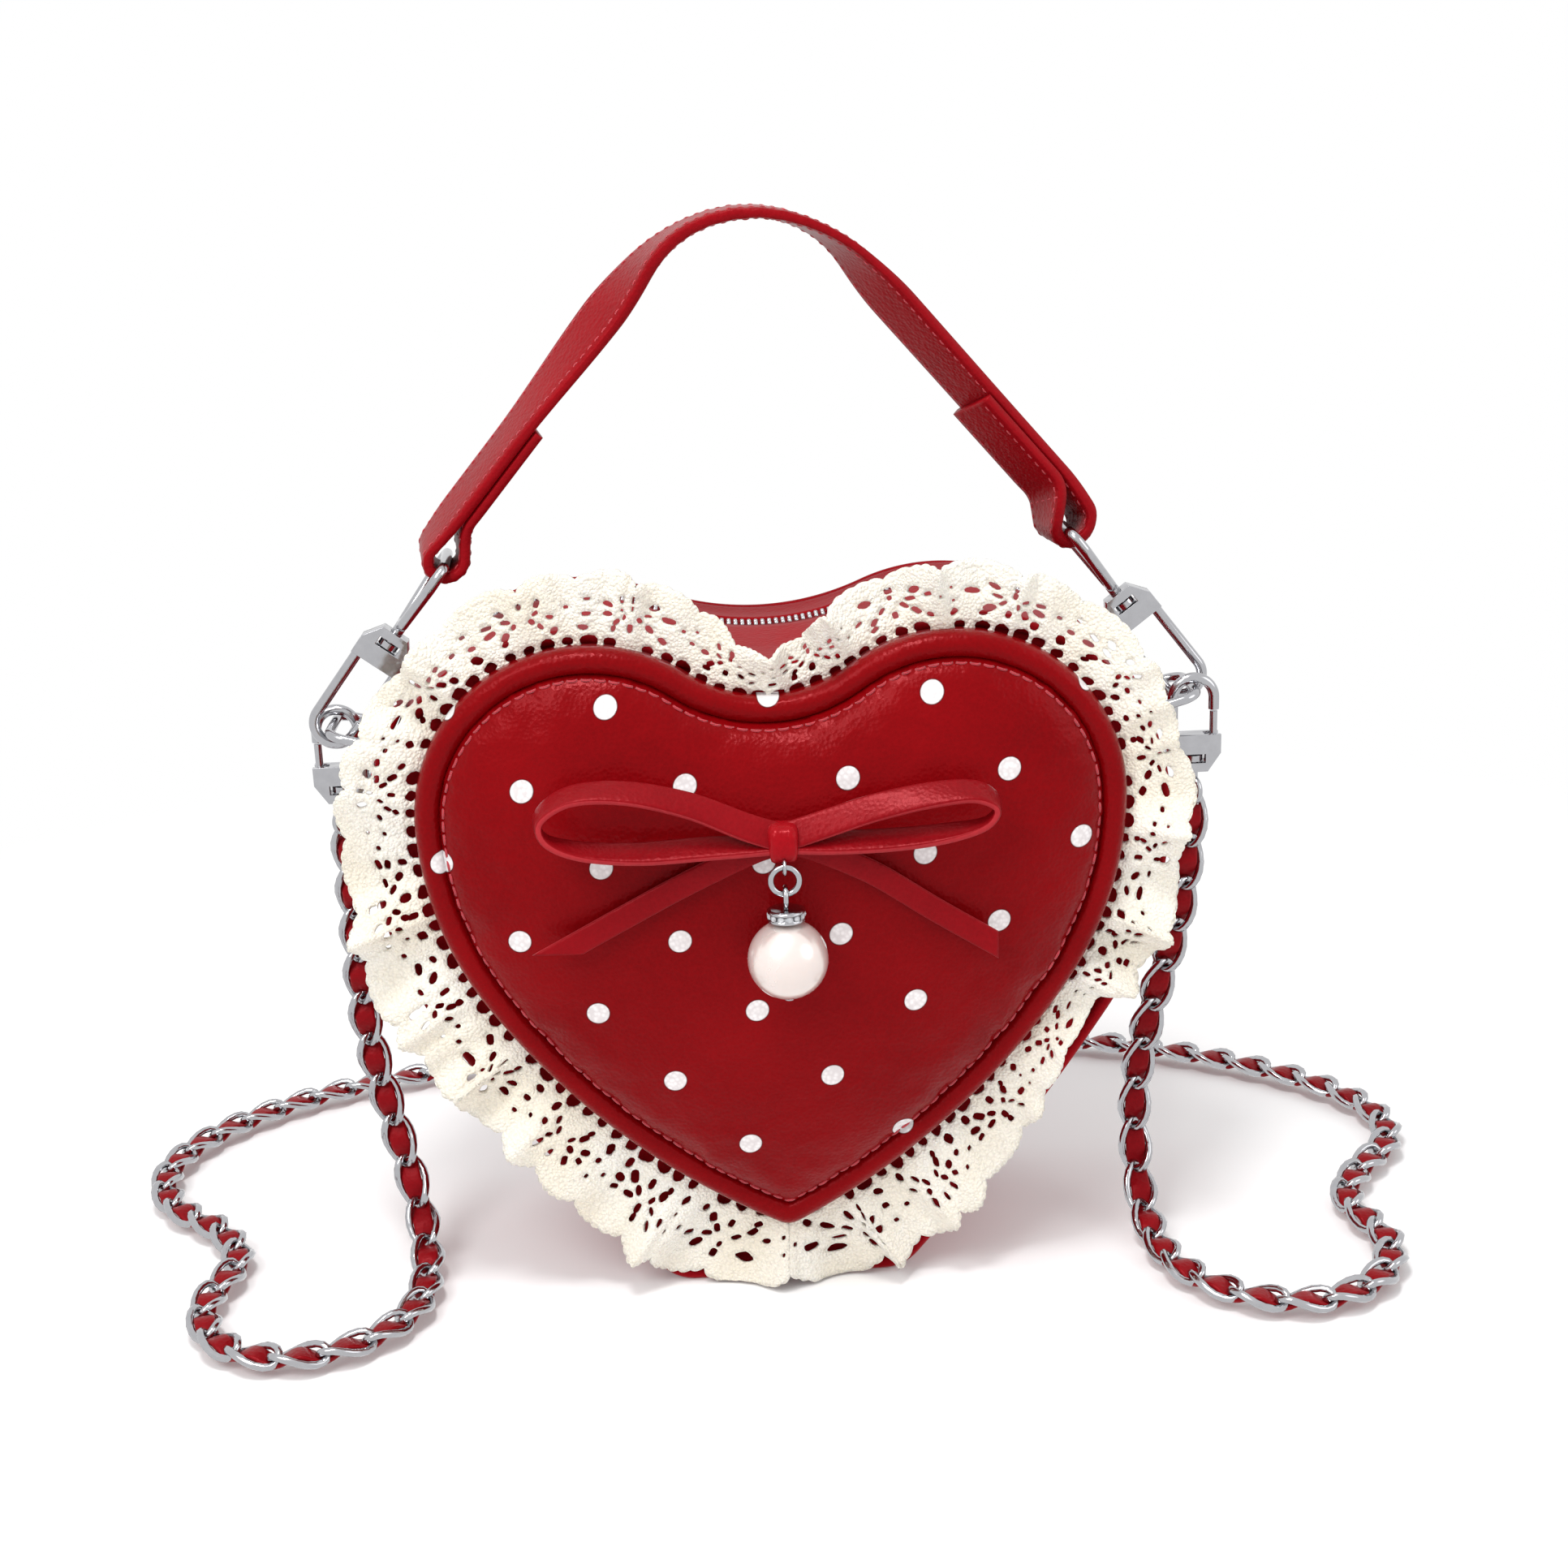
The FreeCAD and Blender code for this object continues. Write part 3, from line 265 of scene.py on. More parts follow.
def tube_faces(rows, cols, loop=False):
    """Quads between rings of points, with both ends capped unless the rings make a loop."""
    faces = ring_faces(rows, cols, loop)
    if not loop:
        faces.append(tuple(range(cols))[::-1])
        faces.append(tuple(range((rows - 1) * cols, rows * cols)))
    return faces


def unit(v):
    """Vectors made one unit long."""
    v = np.asarray(v, float)
    return v / np.maximum(np.linalg.norm(v, axis=-1, keepdims=True), 1e-12)


def line_frames(line, up, loop=False):
    """Tangents, sides and ups along a line, with the ups as near as they can be to those given."""
    line = np.asarray(line, float)
    ahead = np.roll(line, -1, 0) - np.roll(line, 1, 0) if loop else np.gradient(line, axis=0)
    along = unit(ahead)
    side = unit(np.cross(along, np.broadcast_to(up, line.shape)))
    return along, side, np.cross(side, along)


def sweep(line, up, section, loop=False):
    """Points and faces of a closed section of (side, up) pairs carried along a line."""
    _, side, rise = line_frames(line, up, loop)
    section = np.asarray(section, float)
    rings = [p + s * a + r * b for p, s, r in zip(line, side, rise) for a, b in section]
    return rings, tube_faces(len(line), len(section), loop)


def oval(wide, high, count, square=1.0):
    """A section: an ellipse, or with square under 1 a rounded oblong."""
    turns = [2 * math.pi * k / count for k in range(count)]

    def soft(x):
        return math.copysign(abs(x) ** square, x)

    return [(wide / 2 * soft(math.cos(t)), high / 2 * soft(math.sin(t))) for t in turns]


def run_lengths(line):
    """How far along a line each of its points is."""
    return np.concatenate([[0], np.cumsum(np.linalg.norm(np.diff(line, axis=0), axis=1))])


def stretch(line, first, last, count):
    """Evenly spaced points between two distances along a line."""
    far = run_lengths(line)
    at = np.linspace(first, last, count)
    return np.stack([np.interp(at, far, line[:, k]) for k in range(line.shape[1])], 1)


def spaced(line, count):
    """The line again with evenly spaced points."""
    return stretch(line, 0, run_lengths(line)[-1], count)


def through(points, count):
    """A smooth line through given points, with evenly spaced points."""
    p = np.asarray(points, float)
    p = np.vstack([2 * p[0] - p[1], p, 2 * p[-1] - p[-2]])
    t = np.linspace(0, 1, 24, endpoint=False)[:, None]
    runs = []
    for a, b, c, d in zip(p, p[1:], p[2:], p[3:]):
        runs.append(0.5 * (2 * b + (c - a) * t + (2 * a - 5 * b + 4 * c - d) * t ** 2
                           + (3 * b - a - 3 * c + d) * t ** 3))
    return spaced(np.vstack(runs + [p[-2:-1]]), count)


def within(points, line):
    """Which points of the plane lie inside a closed line."""
    x, z = points[:, 0:1], points[:, 1:2]
    a, b = line, np.roll(line, -1, 0)
    crosses = (a[:, 1] > z) != (b[:, 1] > z)
    drop = np.where(b[:, 1] == a[:, 1], 1e-9, b[:, 1] - a[:, 1])
    return (crosses & (x < (b[:, 0] - a[:, 0]) * (z - a[:, 1]) / drop + a[:, 0])).sum(1) % 2 == 1


def fill(line, step, holes=()):
    """Even triangles inside a closed line in the plane and outside its holes."""
    row_share, edge_share = 0.866, 0.55
    low, high = line.min(0), line.max(0)
    rows = np.arange(low[1], high[1], step * row_share)
    grid = np.array([(x + (k % 2) * step / 2, z) for k, z in enumerate(rows)
                     for x in np.arange(low[0], high[0], step)])
    grid = grid[within(grid, line)]
    rings = [line, *holes]
    for ring in rings:
        near = np.min(np.linalg.norm(grid[:, None] - ring[None], axis=2), axis=1)
        grid = grid[near > step * edge_share]
        if ring is not line and len(grid):
            grid = grid[~within(grid, ring)]
    points, edges = [], []
    for ring in rings:
        first = len(points)
        points += list(ring)
        edges += [(first + k, first + (k + 1) % len(ring)) for k in range(len(ring))]
    points += list(grid)
    made = delaunay_2d_cdt([Vector(p) for p in points], edges, [], 1, 1e-6)
    spots = np.array([tuple(v) for v in made[0]])
    faces = np.array(made[2])
    middles = spots[faces].mean(1)
    keep = np.ones(len(faces), bool)
    for ring in holes:
        keep &= ~within(middles, ring)
    return spots, faces[keep]


# Geometry nodes that repeat an item along a line


def repeat_tree():
    """A tree that sets an item along a line, turned to the line and to its "up" attribute."""
    tree = bpy.data.node_groups.new("repeat along a line", "GeometryNodeTree")
    face = tree.interface
    face.new_socket("Geometry", in_out="INPUT", socket_type="NodeSocketGeometry")
    for name, kind in (("Item", "Object"), ("Spacing", "Float"), ("Tilt", "Float"), ("Seed", "Int"),
                       ("Material", "Material")):
        face.new_socket(name, in_out="INPUT", socket_type="NodeSocket" + kind)
    face.new_socket("Geometry", in_out="OUTPUT", socket_type="NodeSocketGeometry")

    def new(kind, **settings):
        node = tree.nodes.new(kind)
        for key, value in settings.items():
            setattr(node, key, value)
        return node

    given = new("NodeGroupInput")
    curve = new("GeometryNodeMeshToCurve")
    steps = new("GeometryNodeResampleCurve", mode="LENGTH")
    ahead = new("GeometryNodeInputTangent")
    up = new("GeometryNodeInputNamedAttribute", data_type="FLOAT_VECTOR")
    up.inputs["Name"].default_value = "up"
    axes = new("FunctionNodeAxesToRotation", primary_axis="X", secondary_axis="Z")
    chance = new("FunctionNodeRandomValue", data_type="FLOAT")
    low = new("ShaderNodeMath", operation="MULTIPLY")
    low.inputs[1].default_value = -1.0
    roll = new("FunctionNodeAxisAngleToRotation")
    roll.inputs["Axis"].default_value = (1, 0, 0)
    turned = new("FunctionNodeRotateRotation", rotation_space="LOCAL")
    item = new("GeometryNodeObjectInfo")
    set_out = new("GeometryNodeInstanceOnPoints")
    real = new("GeometryNodeRealizeInstances")
    painted = new("GeometryNodeSetMaterial")
    result = new("NodeGroupOutput")
    for source, out, target, into in (
        (given, "Geometry", curve, "Mesh"),
        (curve, "Curve", steps, "Curve"),
        (given, "Spacing", steps, "Length"),
        (ahead, 0, axes, "Primary Axis"),
        (up, "Attribute", axes, "Secondary Axis"),
        (given, "Tilt", low, 0),
        (low, 0, chance, 2),
        (given, "Tilt", chance, 3),
        (given, "Seed", chance, "Seed"),
        (chance, 1, roll, "Angle"),
        (axes, "Rotation", turned, "Rotation"),
        (roll, "Rotation", turned, "Rotate By"),
        (given, "Item", item, "Object"),
        (steps, "Curve", set_out, "Points"),
        (item, "Geometry", set_out, "Instance"),
        (turned, "Rotation", set_out, "Rotation"),
        (set_out, "Instances", real, "Geometry"),
        (real, "Geometry", painted, "Geometry"),
        (given, "Material", painted, "Material"),
        (painted, "Geometry", result, "Geometry"),
    ):
        tree.links.new(source.outputs[out], target.inputs[into])
    return tree


def repeat(name, lines, item, spacing, look, tilt=0.0):
    """Set an item along lines, each a (points, ups, closed), and return it as one plain mesh."""
    tree = bpy.data.node_groups.get("repeat along a line") or repeat_tree()
    points, ups, edges = [], [], []
    for line, up, closed in lines:
        first = len(points)
        points += list(np.asarray(line, float) * MM)
        ups += list(np.broadcast_to(up, np.shape(line)))
        edges += [(first + k, first + k + 1) for k in range(len(line) - 1)]
        if closed:
            edges.append((first + len(line) - 1, first))
    mesh = bpy.data.meshes.new(name)
    mesh.from_pydata([tuple(p) for p in points], edges, [])
    attribute = mesh.attributes.new("up", "FLOAT_VECTOR", "POINT")
    attribute.data.foreach_set("vector", np.asarray(ups, np.float32).ravel())
    carrier = new_object(name + "_line", mesh)
    nodes = carrier.modifiers.new("repeat", "NODES")
    nodes.node_group = tree
    names = {s.name: s.identifier for s in tree.interface.items_tree if s.in_out == "INPUT"}
    given = {"Item": item, "Spacing": spacing * MM, "Tilt": tilt, "Seed": 1, "Material": finish(look)}
    for key, value in given.items():
        nodes[names[key]] = value
    piece = new_object(name, bpy.data.meshes.new_from_object(evaluated(carrier)))
    for spare in (carrier, item):
        bpy.data.objects.remove(spare)
    return piece


def stitch(length, thick):
    """One thread stitch: a short rod whose ends dip into the leather."""
    rise, dip = 0.35, 3.0
    line = [(length * t, 0, thick * (rise - dip * t ** 2)) for t in np.linspace(0, 1, 6) - 0.5]
    return closed_mesh("stitch", *sweep(np.array(line), (0, 0, 1), oval(thick, thick * 0.8, 6)))


# Materials


class Finish:
    """A material's node tree, with short calls for the nodes used here."""

    def __init__(self, name, colour, rough, **sockets):
        self.material = bpy.data.materials.new(name)
        self.material.use_nodes = True
        self.tree = self.material.node_tree
        self.shader = self.tree.nodes["Principled BSDF"]
        self.set(Base_Color=(*colour, 1.0), Roughness=rough, **sockets)
        self.place = self.add("ShaderNodeTexCoord").outputs["Object"]

    def set(self, **sockets):
        for key, value in sockets.items():
            self.shader.inputs[key.replace("_", " ")].default_value = value

    def put(self, value, socket):
        """Link a socket to another one, or give it a value."""
        if isinstance(value, bpy.types.NodeSocket):
            self.tree.links.new(value, socket)
        else:
            socket.default_value = value

    def add(self, kind, **given):
        """A node; given holds its properties, and its sockets' values or links by name or number."""
        node = self.tree.nodes.new(kind)
        for key, value in given.items():
            numbered = key[0] == "i" and key[1:].isdigit()
            if hasattr(node, key):
                setattr(node, key, value)
            else:
                self.put(value, node.inputs[int(key[1:]) if numbered else key.replace("_", " ")])
        return node

    def math(self, kind, a, b=0.0, c=0.0):
        return self.add("ShaderNodeMath", operation=kind, i0=a, i1=b, i2=c).outputs[0]

    def noise(self, scale, detail=2.0, rough=0.5, twist=0.0):
        return self.add("ShaderNodeTexNoise", Vector=self.place, Scale=scale, Detail=detail,
                        Roughness=rough, Distortion=twist).outputs["Fac"]

    def cells(self, scale, feature="F1"):
        return self.add("ShaderNodeTexVoronoi", feature=feature, Vector=self.place,
                        Scale=scale).outputs["Distance"]

    def span(self, value, low, high, to_low, to_high):
        """A value mapped from one range to another and kept inside it."""
        return self.add("ShaderNodeMapRange", Value=value, i1=low, i2=high, i3=to_low,
                        i4=to_high).outputs[0]

    def mix(self, share, a, b):
        """Two colours mixed by a share."""
        node = self.add("ShaderNodeMix", data_type="RGBA", i0=share)
        for number, colour in ((6, a), (7, b)):
            linked = isinstance(colour, bpy.types.NodeSocket)
            self.put(colour if linked else (*colour, 1.0), node.inputs[number])
        return node.outputs[2]

    def use(self, socket, value):
        self.tree.links.new(value, self.shader.inputs[socket])
        return self

    def bump(self, height, depth, strength=1.0):
        """Raise the surface by a height of 0 to 1 times a depth in metres."""
        node = self.add("ShaderNodeBump", Height=height, Distance=depth, Strength=strength)
        before = self.shader.inputs["Normal"].links
        if before:
            self.tree.links.new(before[0].from_socket, node.inputs["Normal"])
        self.tree.links.new(node.outputs[0], self.shader.inputs["Normal"])
        return self


def shade(colour, factor):
    """A colour made darker or lighter."""
    return tuple(c * factor for c in colour)


# Fixed tints of the finishes
RED_GLOSS = (1.0, 0.2, 0.22, 1.0)
DOT_PALE, DOT_WORN = (0.84, 0.82, 0.82), (0.66, 0.63, 0.63)
PALE_THREAD = (0.91, 0.88, 0.81)
# The cut edges' paler red is partly the raw edge's own colour and partly a painted highlight along the edge
CUT_EDGE_AND_HIGHLIGHT = (0.34, 0.022, 0.028)


def leather(name, colour, rough, grain=1.0, gloss=0.32, dots=None):
    """Grained leather with a cloudy colour and fine creases, a painted highlight on the raised grain and
    crease tops, and printed dots where asked.
    """
    f = Finish(name, colour, rough, Specular_IOR_Level=gloss, Specular_Tint=RED_GLOSS)
    clouds = f.noise(26.0, 4.0, 0.55)
    base = f.mix(f.span(clouds, 0.3, 0.72, 0.0, 1.0), shade(colour, 0.84), shade(colour, 1.12))
    pebbles = f.cells(950.0)
    creases = f.noise(330.0, 5.0, 0.62)
    folds = f.noise(62.0, 3.0, twist=1.2)
    # Painted highlight: the raised grain and the crease tops are made lighter, as if they caught the light
    grain_highlight = f.span(f.math("MULTIPLY", pebbles, creases), 0.12, 0.42, 0.0, 0.22)
    base = f.mix(grain_highlight, base, shade(colour, 1.45))
    shine = f.span(clouds, 0.25, 0.75, rough - 0.06, rough + 0.09)
    if dots:
        mark, ring = dots(f)
        base = f.mix(ring, base, shade(colour, 0.25))
        paint = f.mix(f.span(pebbles, 0.1, 0.7, 0.0, 1.0), DOT_PALE, DOT_WORN)
        base = f.mix(mark, base, paint)
        shine = f.math("ADD", shine, f.math("MULTIPLY", mark, 0.18))
        f.bump(mark, 0.00012)
    f.use("Base Color", base).use("Roughness", shine)
    f.bump(folds, 0.0005 * grain, 0.35)
    f.bump(creases, 0.00022 * grain, 0.6)
    f.bump(pebbles, 0.00016 * grain, 0.55)
    return f.material


# Where the dots stop, in metres: at x less z, x and z, and how softly; and how sharp a dot's edge is
PRINT_LEAN, PRINT_RIGHT, PRINT_FOOT, PRINT_FADE = -0.03, 0.045, 0.036, 0.001
DOT_EDGE = 0.00012


def polka(sizes):
    """Dots printed in rows, each row set half a step along from the last."""
    def past(f, value, limit):
        return f.span(value, limit - PRINT_FADE, limit + PRINT_FADE, 0.0, 1.0)

    def mark(f):
        x, _, z = f.add("ShaderNodeSeparateXYZ", Vector=f.place).outputs
        drop = f.math("SUBTRACT", sizes.dot_first_z, z)
        rows = f.math("DIVIDE", drop, sizes.dot_row)
        row = f.math("ROUND", rows)
        high = f.math("MULTIPLY", f.math("SUBTRACT", rows, row), sizes.dot_row)
        half = f.math("MULTIPLY", f.math("FLOORED_MODULO", row, 2.0), sizes.dot_pitch / 2)
        along = f.math("ADD", f.math("MULTIPLY_ADD", drop, sizes.dot_drift, x), half)
        steps = f.math("DIVIDE", along, sizes.dot_pitch)
        wide = f.math("MULTIPLY", f.math("SUBTRACT", steps, f.math("ROUND", steps)), sizes.dot_pitch)
        far = f.math("SQRT", f.math("ADD", f.math("MULTIPLY", wide, wide), f.math("MULTIPLY", high, high)))
        # The print stops short of the lower right edge and of the foot
        leant = past(f, f.math("SUBTRACT", x, z), PRINT_LEAN)
        cut = f.math("MULTIPLY", leant, past(f, x, PRINT_RIGHT))
        shown = f.math("MINIMUM", f.math("SUBTRACT", 1.0, cut), past(f, z, PRINT_FOOT))
        r = sizes.dot_size / 2
        dot = f.span(far, r - DOT_EDGE, r + DOT_EDGE, 1.0, 0.0)
        ring = f.span(far, r + DOT_EDGE, r + 3 * DOT_EDGE, 0.8, 0.0)
        return f.math("MULTIPLY", shown, dot), f.math("MULTIPLY", shown, ring)

    return mark


def plain_cloth(name, colour, rough, threads, nap=0.2):
    """Woven cloth: crossing threads from two waves, with a little uneven colour."""
    f = Finish(name, colour, rough, Sheen_Weight=nap, Sheen_Roughness=0.5, Specular_IOR_Level=0.1)
    x, z = (f.add("ShaderNodeTexWave", Vector=f.place, Scale=threads, bands_direction=way).outputs["Fac"]
            for way in "XZ")
    f.use("Base Color", f.mix(f.noise(60.0, 3.0), shade(colour, 0.8), shade(colour, 1.15)))
    f.bump(f.math("MULTIPLY", x, z), 0.0002)
    return f.material


def cotton(name, colour):
    """Lace thread: small knotted loops with painted shade in the hollows between them, and cream and paler
    threads among them.
    """
    f = Finish(name, colour, 0.85, Sheen_Weight=0.3, Sheen_Roughness=0.6, Subsurface_Weight=0.12,
               Subsurface_Radius=(0.002, 0.0016, 0.001), Subsurface_Scale=0.5)
    knots = f.cells(1250.0)
    strands = f.noise(900.0, 4.0, twist=2.0)
    clouds = f.noise(45.0, 3.0)
    base = f.mix(f.span(clouds, 0.35, 0.7, 0.0, 1.0), colour, PALE_THREAD)
    # Painted shade: darker towards the knots' edges, in the hollows between the raised knots
    base = f.mix(f.span(knots, 0.25, 0.75, 0.0, 0.38), base, shade(colour, 0.72))
    f.use("Base Color", base)
    f.bump(strands, 0.0003, 0.7)
    f.bump(f.math("SUBTRACT", 1.0, knots), 0.0005, 0.9)
    return f.material


def metal(name, colour, rough, scratch=0.02):
    """Polished metal with faint clouds and hairlines in its gloss."""
    f = Finish(name, colour, rough, Metallic=1.0)
    clouds = f.noise(180.0, 4.0)
    f.use("Roughness", f.span(clouds, 0.3, 0.7, rough - scratch, rough + 2 * scratch))
    f.use("Base Color", f.mix(f.noise(420.0, 3.0), shade(colour, 0.86), shade(colour, 1.05)))
    f.bump(f.noise(700.0, 3.0), 0.00004, 0.3)
    return f.material


def pearl_coat(name, colour):
    """Nacre: a pale, half metallic body under a clear coat, with a faint swirl in colour and gloss."""
    f = Finish(name, colour, 0.24, Metallic=0.45, Coat_Weight=1.0, Coat_Roughness=0.05,
               Subsurface_Weight=0.2, Subsurface_Scale=0.004, Subsurface_Radius=(1.0, 0.6, 0.5),
               Specular_IOR_Level=0.6)
    swirl = f.noise(90.0, 4.0, twist=0.8)
    f.use("Base Color", f.mix(swirl, shade(colour, 0.95), shade(colour, 1.08)))
    f.use("Roughness", f.span(swirl, 0.3, 0.7, 0.2, 0.3))
    return f.material


def cut_stone(name):
    """Clear stone with painted light and shade: white and grey patches in its colour stand in for brighter
    and darker facets.
    """
    f = Finish(name, (0.95, 0.96, 0.98), 0.03, Transmission_Weight=0.55, IOR=1.7, Specular_IOR_Level=0.8)
    # Painted reflections and shade: small cells of white and grey in place of brighter and darker facets
    f.use("Base Color", f.mix(f.cells(1400.0), (0.98, 0.98, 1.0), (0.6, 0.62, 0.66)))
    return f.material


# Sizes and colours that a user would change


def size(name, text, value):
    return FloatProperty(name=name, description=text, default=value, min=0.0, unit="LENGTH", precision=5)


def angle(name, text, degrees):
    return FloatProperty(name=name, description=text, default=math.radians(degrees), subtype="ANGLE")


def watts(name, text, value):
    return FloatProperty(name=name, description=text, default=value, min=0.0, unit="POWER")


def tint(name, text, value):
    return FloatVectorProperty(name=name, description=text, default=value, min=0.0, max=1.0,
                               subtype="COLOR")


class PurseSizes(bpy.types.PropertyGroup):
    """Sizes of the printed, sewn and repeated details."""

    dot_size: size("Dot", "Width of a printed dot", 0.0056)
    dot_pitch: size("Dot spacing", "From one dot to the next along a row", 0.0395)
    dot_row: size("Dot rows", "From one row of dots to the next", 0.0193)
    dot_first_z: size("Top dots", "Height of the uppermost row of dots", 0.1625)
    dot_drift: FloatProperty(name="Dot drift", description="Sideways step of the rows for each unit down",
                             default=0.08, subtype="FACTOR", min=-1.0, max=1.0)
    stitch_pitch: size("Stitch spacing", "From one stitch to the next", 0.0034)
    stitch_length: size("Stitch", "Length of a stitch that shows", 0.0025)
    thread: size("Thread", "Thickness of the sewing thread", 0.0007)
    lace_tile: size("Lace motif", "Flat length of lace for one motif", 0.028)
    lace_tiles: IntProperty(name="Lace motifs", description="Motifs around the heart", default=22,
                            min=8, max=40)
    lace_width: size("Lace width", "Flat width of the lace without its scallops", 0.0232)
    lace_wave: size("Lace ruffle", "How far a ruffle stands forwards and back", 0.003)
    link_length: size("Link length", "Length of a chain link at its wire's middle", 0.0145)
    link_width: size("Link width", "Width of a chain link at its wire's middle", 0.0074)
    link_wire: size("Link wire", "Thickness of a chain link's wire", 0.0021)
    strip_width: size("Chain leather", "Width of the leather woven through the chain", 0.0054)
    strip_thick: size("Chain leather thickness", "Thickness of the woven leather", 0.0014)
    tooth_pitch: size("Zip tooth spacing", "From one zip tooth to the next", 0.0018)


class PurseColours(bpy.types.PropertyGroup):
    """Colours of the finishes."""

    leather: tint("Leather", "Red leather of the bag, bow and straps", (0.285, 0.003, 0.007))
    padding: tint("Padded leather", "Darker red leather of the padded heart", (0.215, 0.0012, 0.0028))
    thread: tint("Thread", "Sewing thread", (0.5, 0.05, 0.065))
    lining: tint("Lining", "Cloth inside the bag", (0.16, 0.004, 0.008))
    board: tint("Base board", "Stiff board under the lining", (0.30, 0.22, 0.15))
    lace: tint("Lace", "Cotton lace", (0.86, 0.79, 0.66))
    metal: tint("Metal", "Hooks, rings and chain", (0.48, 0.48, 0.5))
    zip_metal: tint("Zip metal", "Zip teeth and slider", (0.55, 0.55, 0.57))
    pearl: tint("Pearl", "Pearl of the pendant", (0.8, 0.7, 0.66))


def sizes():
    """The sizes that the panel shows."""
    return bpy.context.scene.purse_sizes


def finish(name):
    """One of the purse's materials, made when it is first asked for."""
    found = bpy.data.materials.get(name)
    if found:
        return found
    c = bpy.context.scene.purse_colours
    kinds = {
        "dotted leather": (leather, (shade(c.padding, 0.83), 0.25),
                           {"gloss": 0.27, "dots": polka(sizes())}),
        "red leather": (leather, (shade(c.leather, 0.76), 0.36), {"gloss": 0.24}),
        "panel leather": (leather, (shade(c.leather, 0.88), 0.5), {"gloss": 0.12}),
        "strip leather": (leather, (shade(c.leather, 0.7), 0.33), {"grain": 0.8, "gloss": 0.36}),
        "knot leather": (leather, (c.leather, 0.24), {"grain": 0.5}),
        "cut edge": (leather, (CUT_EDGE_AND_HIGHLIGHT, 0.6), {"grain": 0.6}),
        "zip tape": (plain_cloth, (shade(c.leather, 0.6), 0.8, 800.0), {"nap": 0.0}),
        "thread": (plain_cloth, (c.thread, 0.7, 900.0), {}),
        "lining cloth": (plain_cloth, (c.lining, 0.85, 700.0), {}),
        "fibre board": (plain_cloth, (c.board, 0.9, 300.0), {}),
        "lace": (cotton, (c.lace,), {}),
        "metal": (metal, (c.metal, 0.14), {}),
        "zip metal": (metal, (c.zip_metal, 0.22), {}),
        "nacre": (pearl_coat, (c.pearl,), {}),
        "stones": (cut_stone, (), {}),
    }
    make, given, more = kinds[name]
    return make(name, *given, **more)


# The chain strap's route in metres, as the part has it: down from the left ring, over the
# floor, behind the purse and up to the right ring. Points on the floor have no height of their own.
CHAIN_START = (-0.111911, 0.0005, 0.11784)
LEFT_HANG = [(-0.112, 0.0004, 0.094), (-0.112, -0.001, 0.064), (-0.106, -0.003, 0.0355),
             (-0.1, -0.009, 0.013)]
LEFT_FLOOR = [(-0.096, -0.029), (-0.097, -0.05), (-0.109, -0.066), (-0.13, -0.072), (-0.149, -0.061),
              (-0.155, -0.04), (-0.147, -0.018), (-0.158, 0.002), (-0.174, 0.015), (-0.181, 0.035),
              (-0.176, 0.056), (-0.161, 0.075), (-0.138, 0.091), (-0.112, 0.101), (-0.083, 0.107),
              (-0.052, 0.111)]
RIGHT_FLOOR = [(-0.021, 0.113), (0.01, 0.1125), (0.041, 0.11), (0.071, 0.1065), (0.099, 0.1005),
               (0.124, 0.0905), (0.147, 0.0765), (0.167, 0.059), (0.1795, 0.038), (0.178, 0.016),
               (0.163, 0.0), (0.153, -0.018), (0.161, -0.039), (0.154, -0.06), (0.135, -0.072),
               (0.114, -0.067), (0.101, -0.05), (0.098, -0.032)]
RIGHT_HANG = [(0.0978, -0.016, 0.0085), (0.0975, -0.007, 0.022), (0.098, -0.006, 0.042),
              (0.1035, -0.0075, 0.067), (0.1108, -0.0084, 0.093)]
CHAIN_END = (0.111911, -0.0085, 0.11784)
CHAIN_FLOOR = 0.0049
CHAIN_LINKS = 88
# In millimetres: from each end to its first link, and the woven strip's middle and swing across the links
CHAIN_LEAD = 3.6
WEAVE_MIDDLE, WEAVE_SWING = -0.5, 1.1
# Degrees that a link's ends are twisted from its middle
LINK_TWIST = 45
# The slope at which the chain begins to turn to the front, and how much more it takes to have turned
TURN_FROM, TURN_OVER = 0.3, 0.5


def route_line(name, places):
    """The smooth line of a cord's route, as points in millimetres."""
    curve = bpy.data.curves.new(name, "CURVE")
    curve.dimensions = "3D"
    spline = curve.splines.new("NURBS")
    spline.points.add(len(places) - 1)
    for point, place in zip(spline.points, places):
        point.co = (*place, 1.0)
    spline.order_u = 3
    spline.use_endpoint_u = True
    spline.resolution_u = 12
    holder = new_object(name, curve)
    mesh = bpy.data.meshes.new_from_object(evaluated(holder))
    line = points_of(mesh) / MM
    bpy.data.objects.remove(holder)
    bpy.data.curves.remove(curve)
    bpy.data.meshes.remove(mesh)
    return line


def chain_ups(line):
    """Where the chain's flat side looks: up on the floor, to the front where it hangs."""
    slope = np.abs(unit(np.gradient(line, axis=0))[:, 2:])
    steep = np.clip((slope - TURN_FROM) / TURN_OVER, 0, 1)
    return unit((1 - steep) * np.array([0, 0, 1.0]) + steep * np.array([0, -1.0, 0]))


def curb_link(long, wide, wire):
    """An oval link twisted along its length, so that a row of them lies flat."""
    turns = np.linspace(0, 2 * math.pi, 20, endpoint=False)
    x = long / 2 * np.cos(turns)
    y = wide / 2 * np.sign(np.sin(turns)) * np.abs(np.sin(turns)) ** 0.8
    twist = np.radians(LINK_TWIST) * x / (long / 2)
    line = np.stack([x, y * np.cos(twist), y * np.sin(twist)], 1)
    ups = np.stack([np.zeros_like(x), -np.sin(twist), np.cos(twist)], 1)
    return closed_mesh("link", *sweep(line, ups, oval(wire, wire, 6), loop=True))


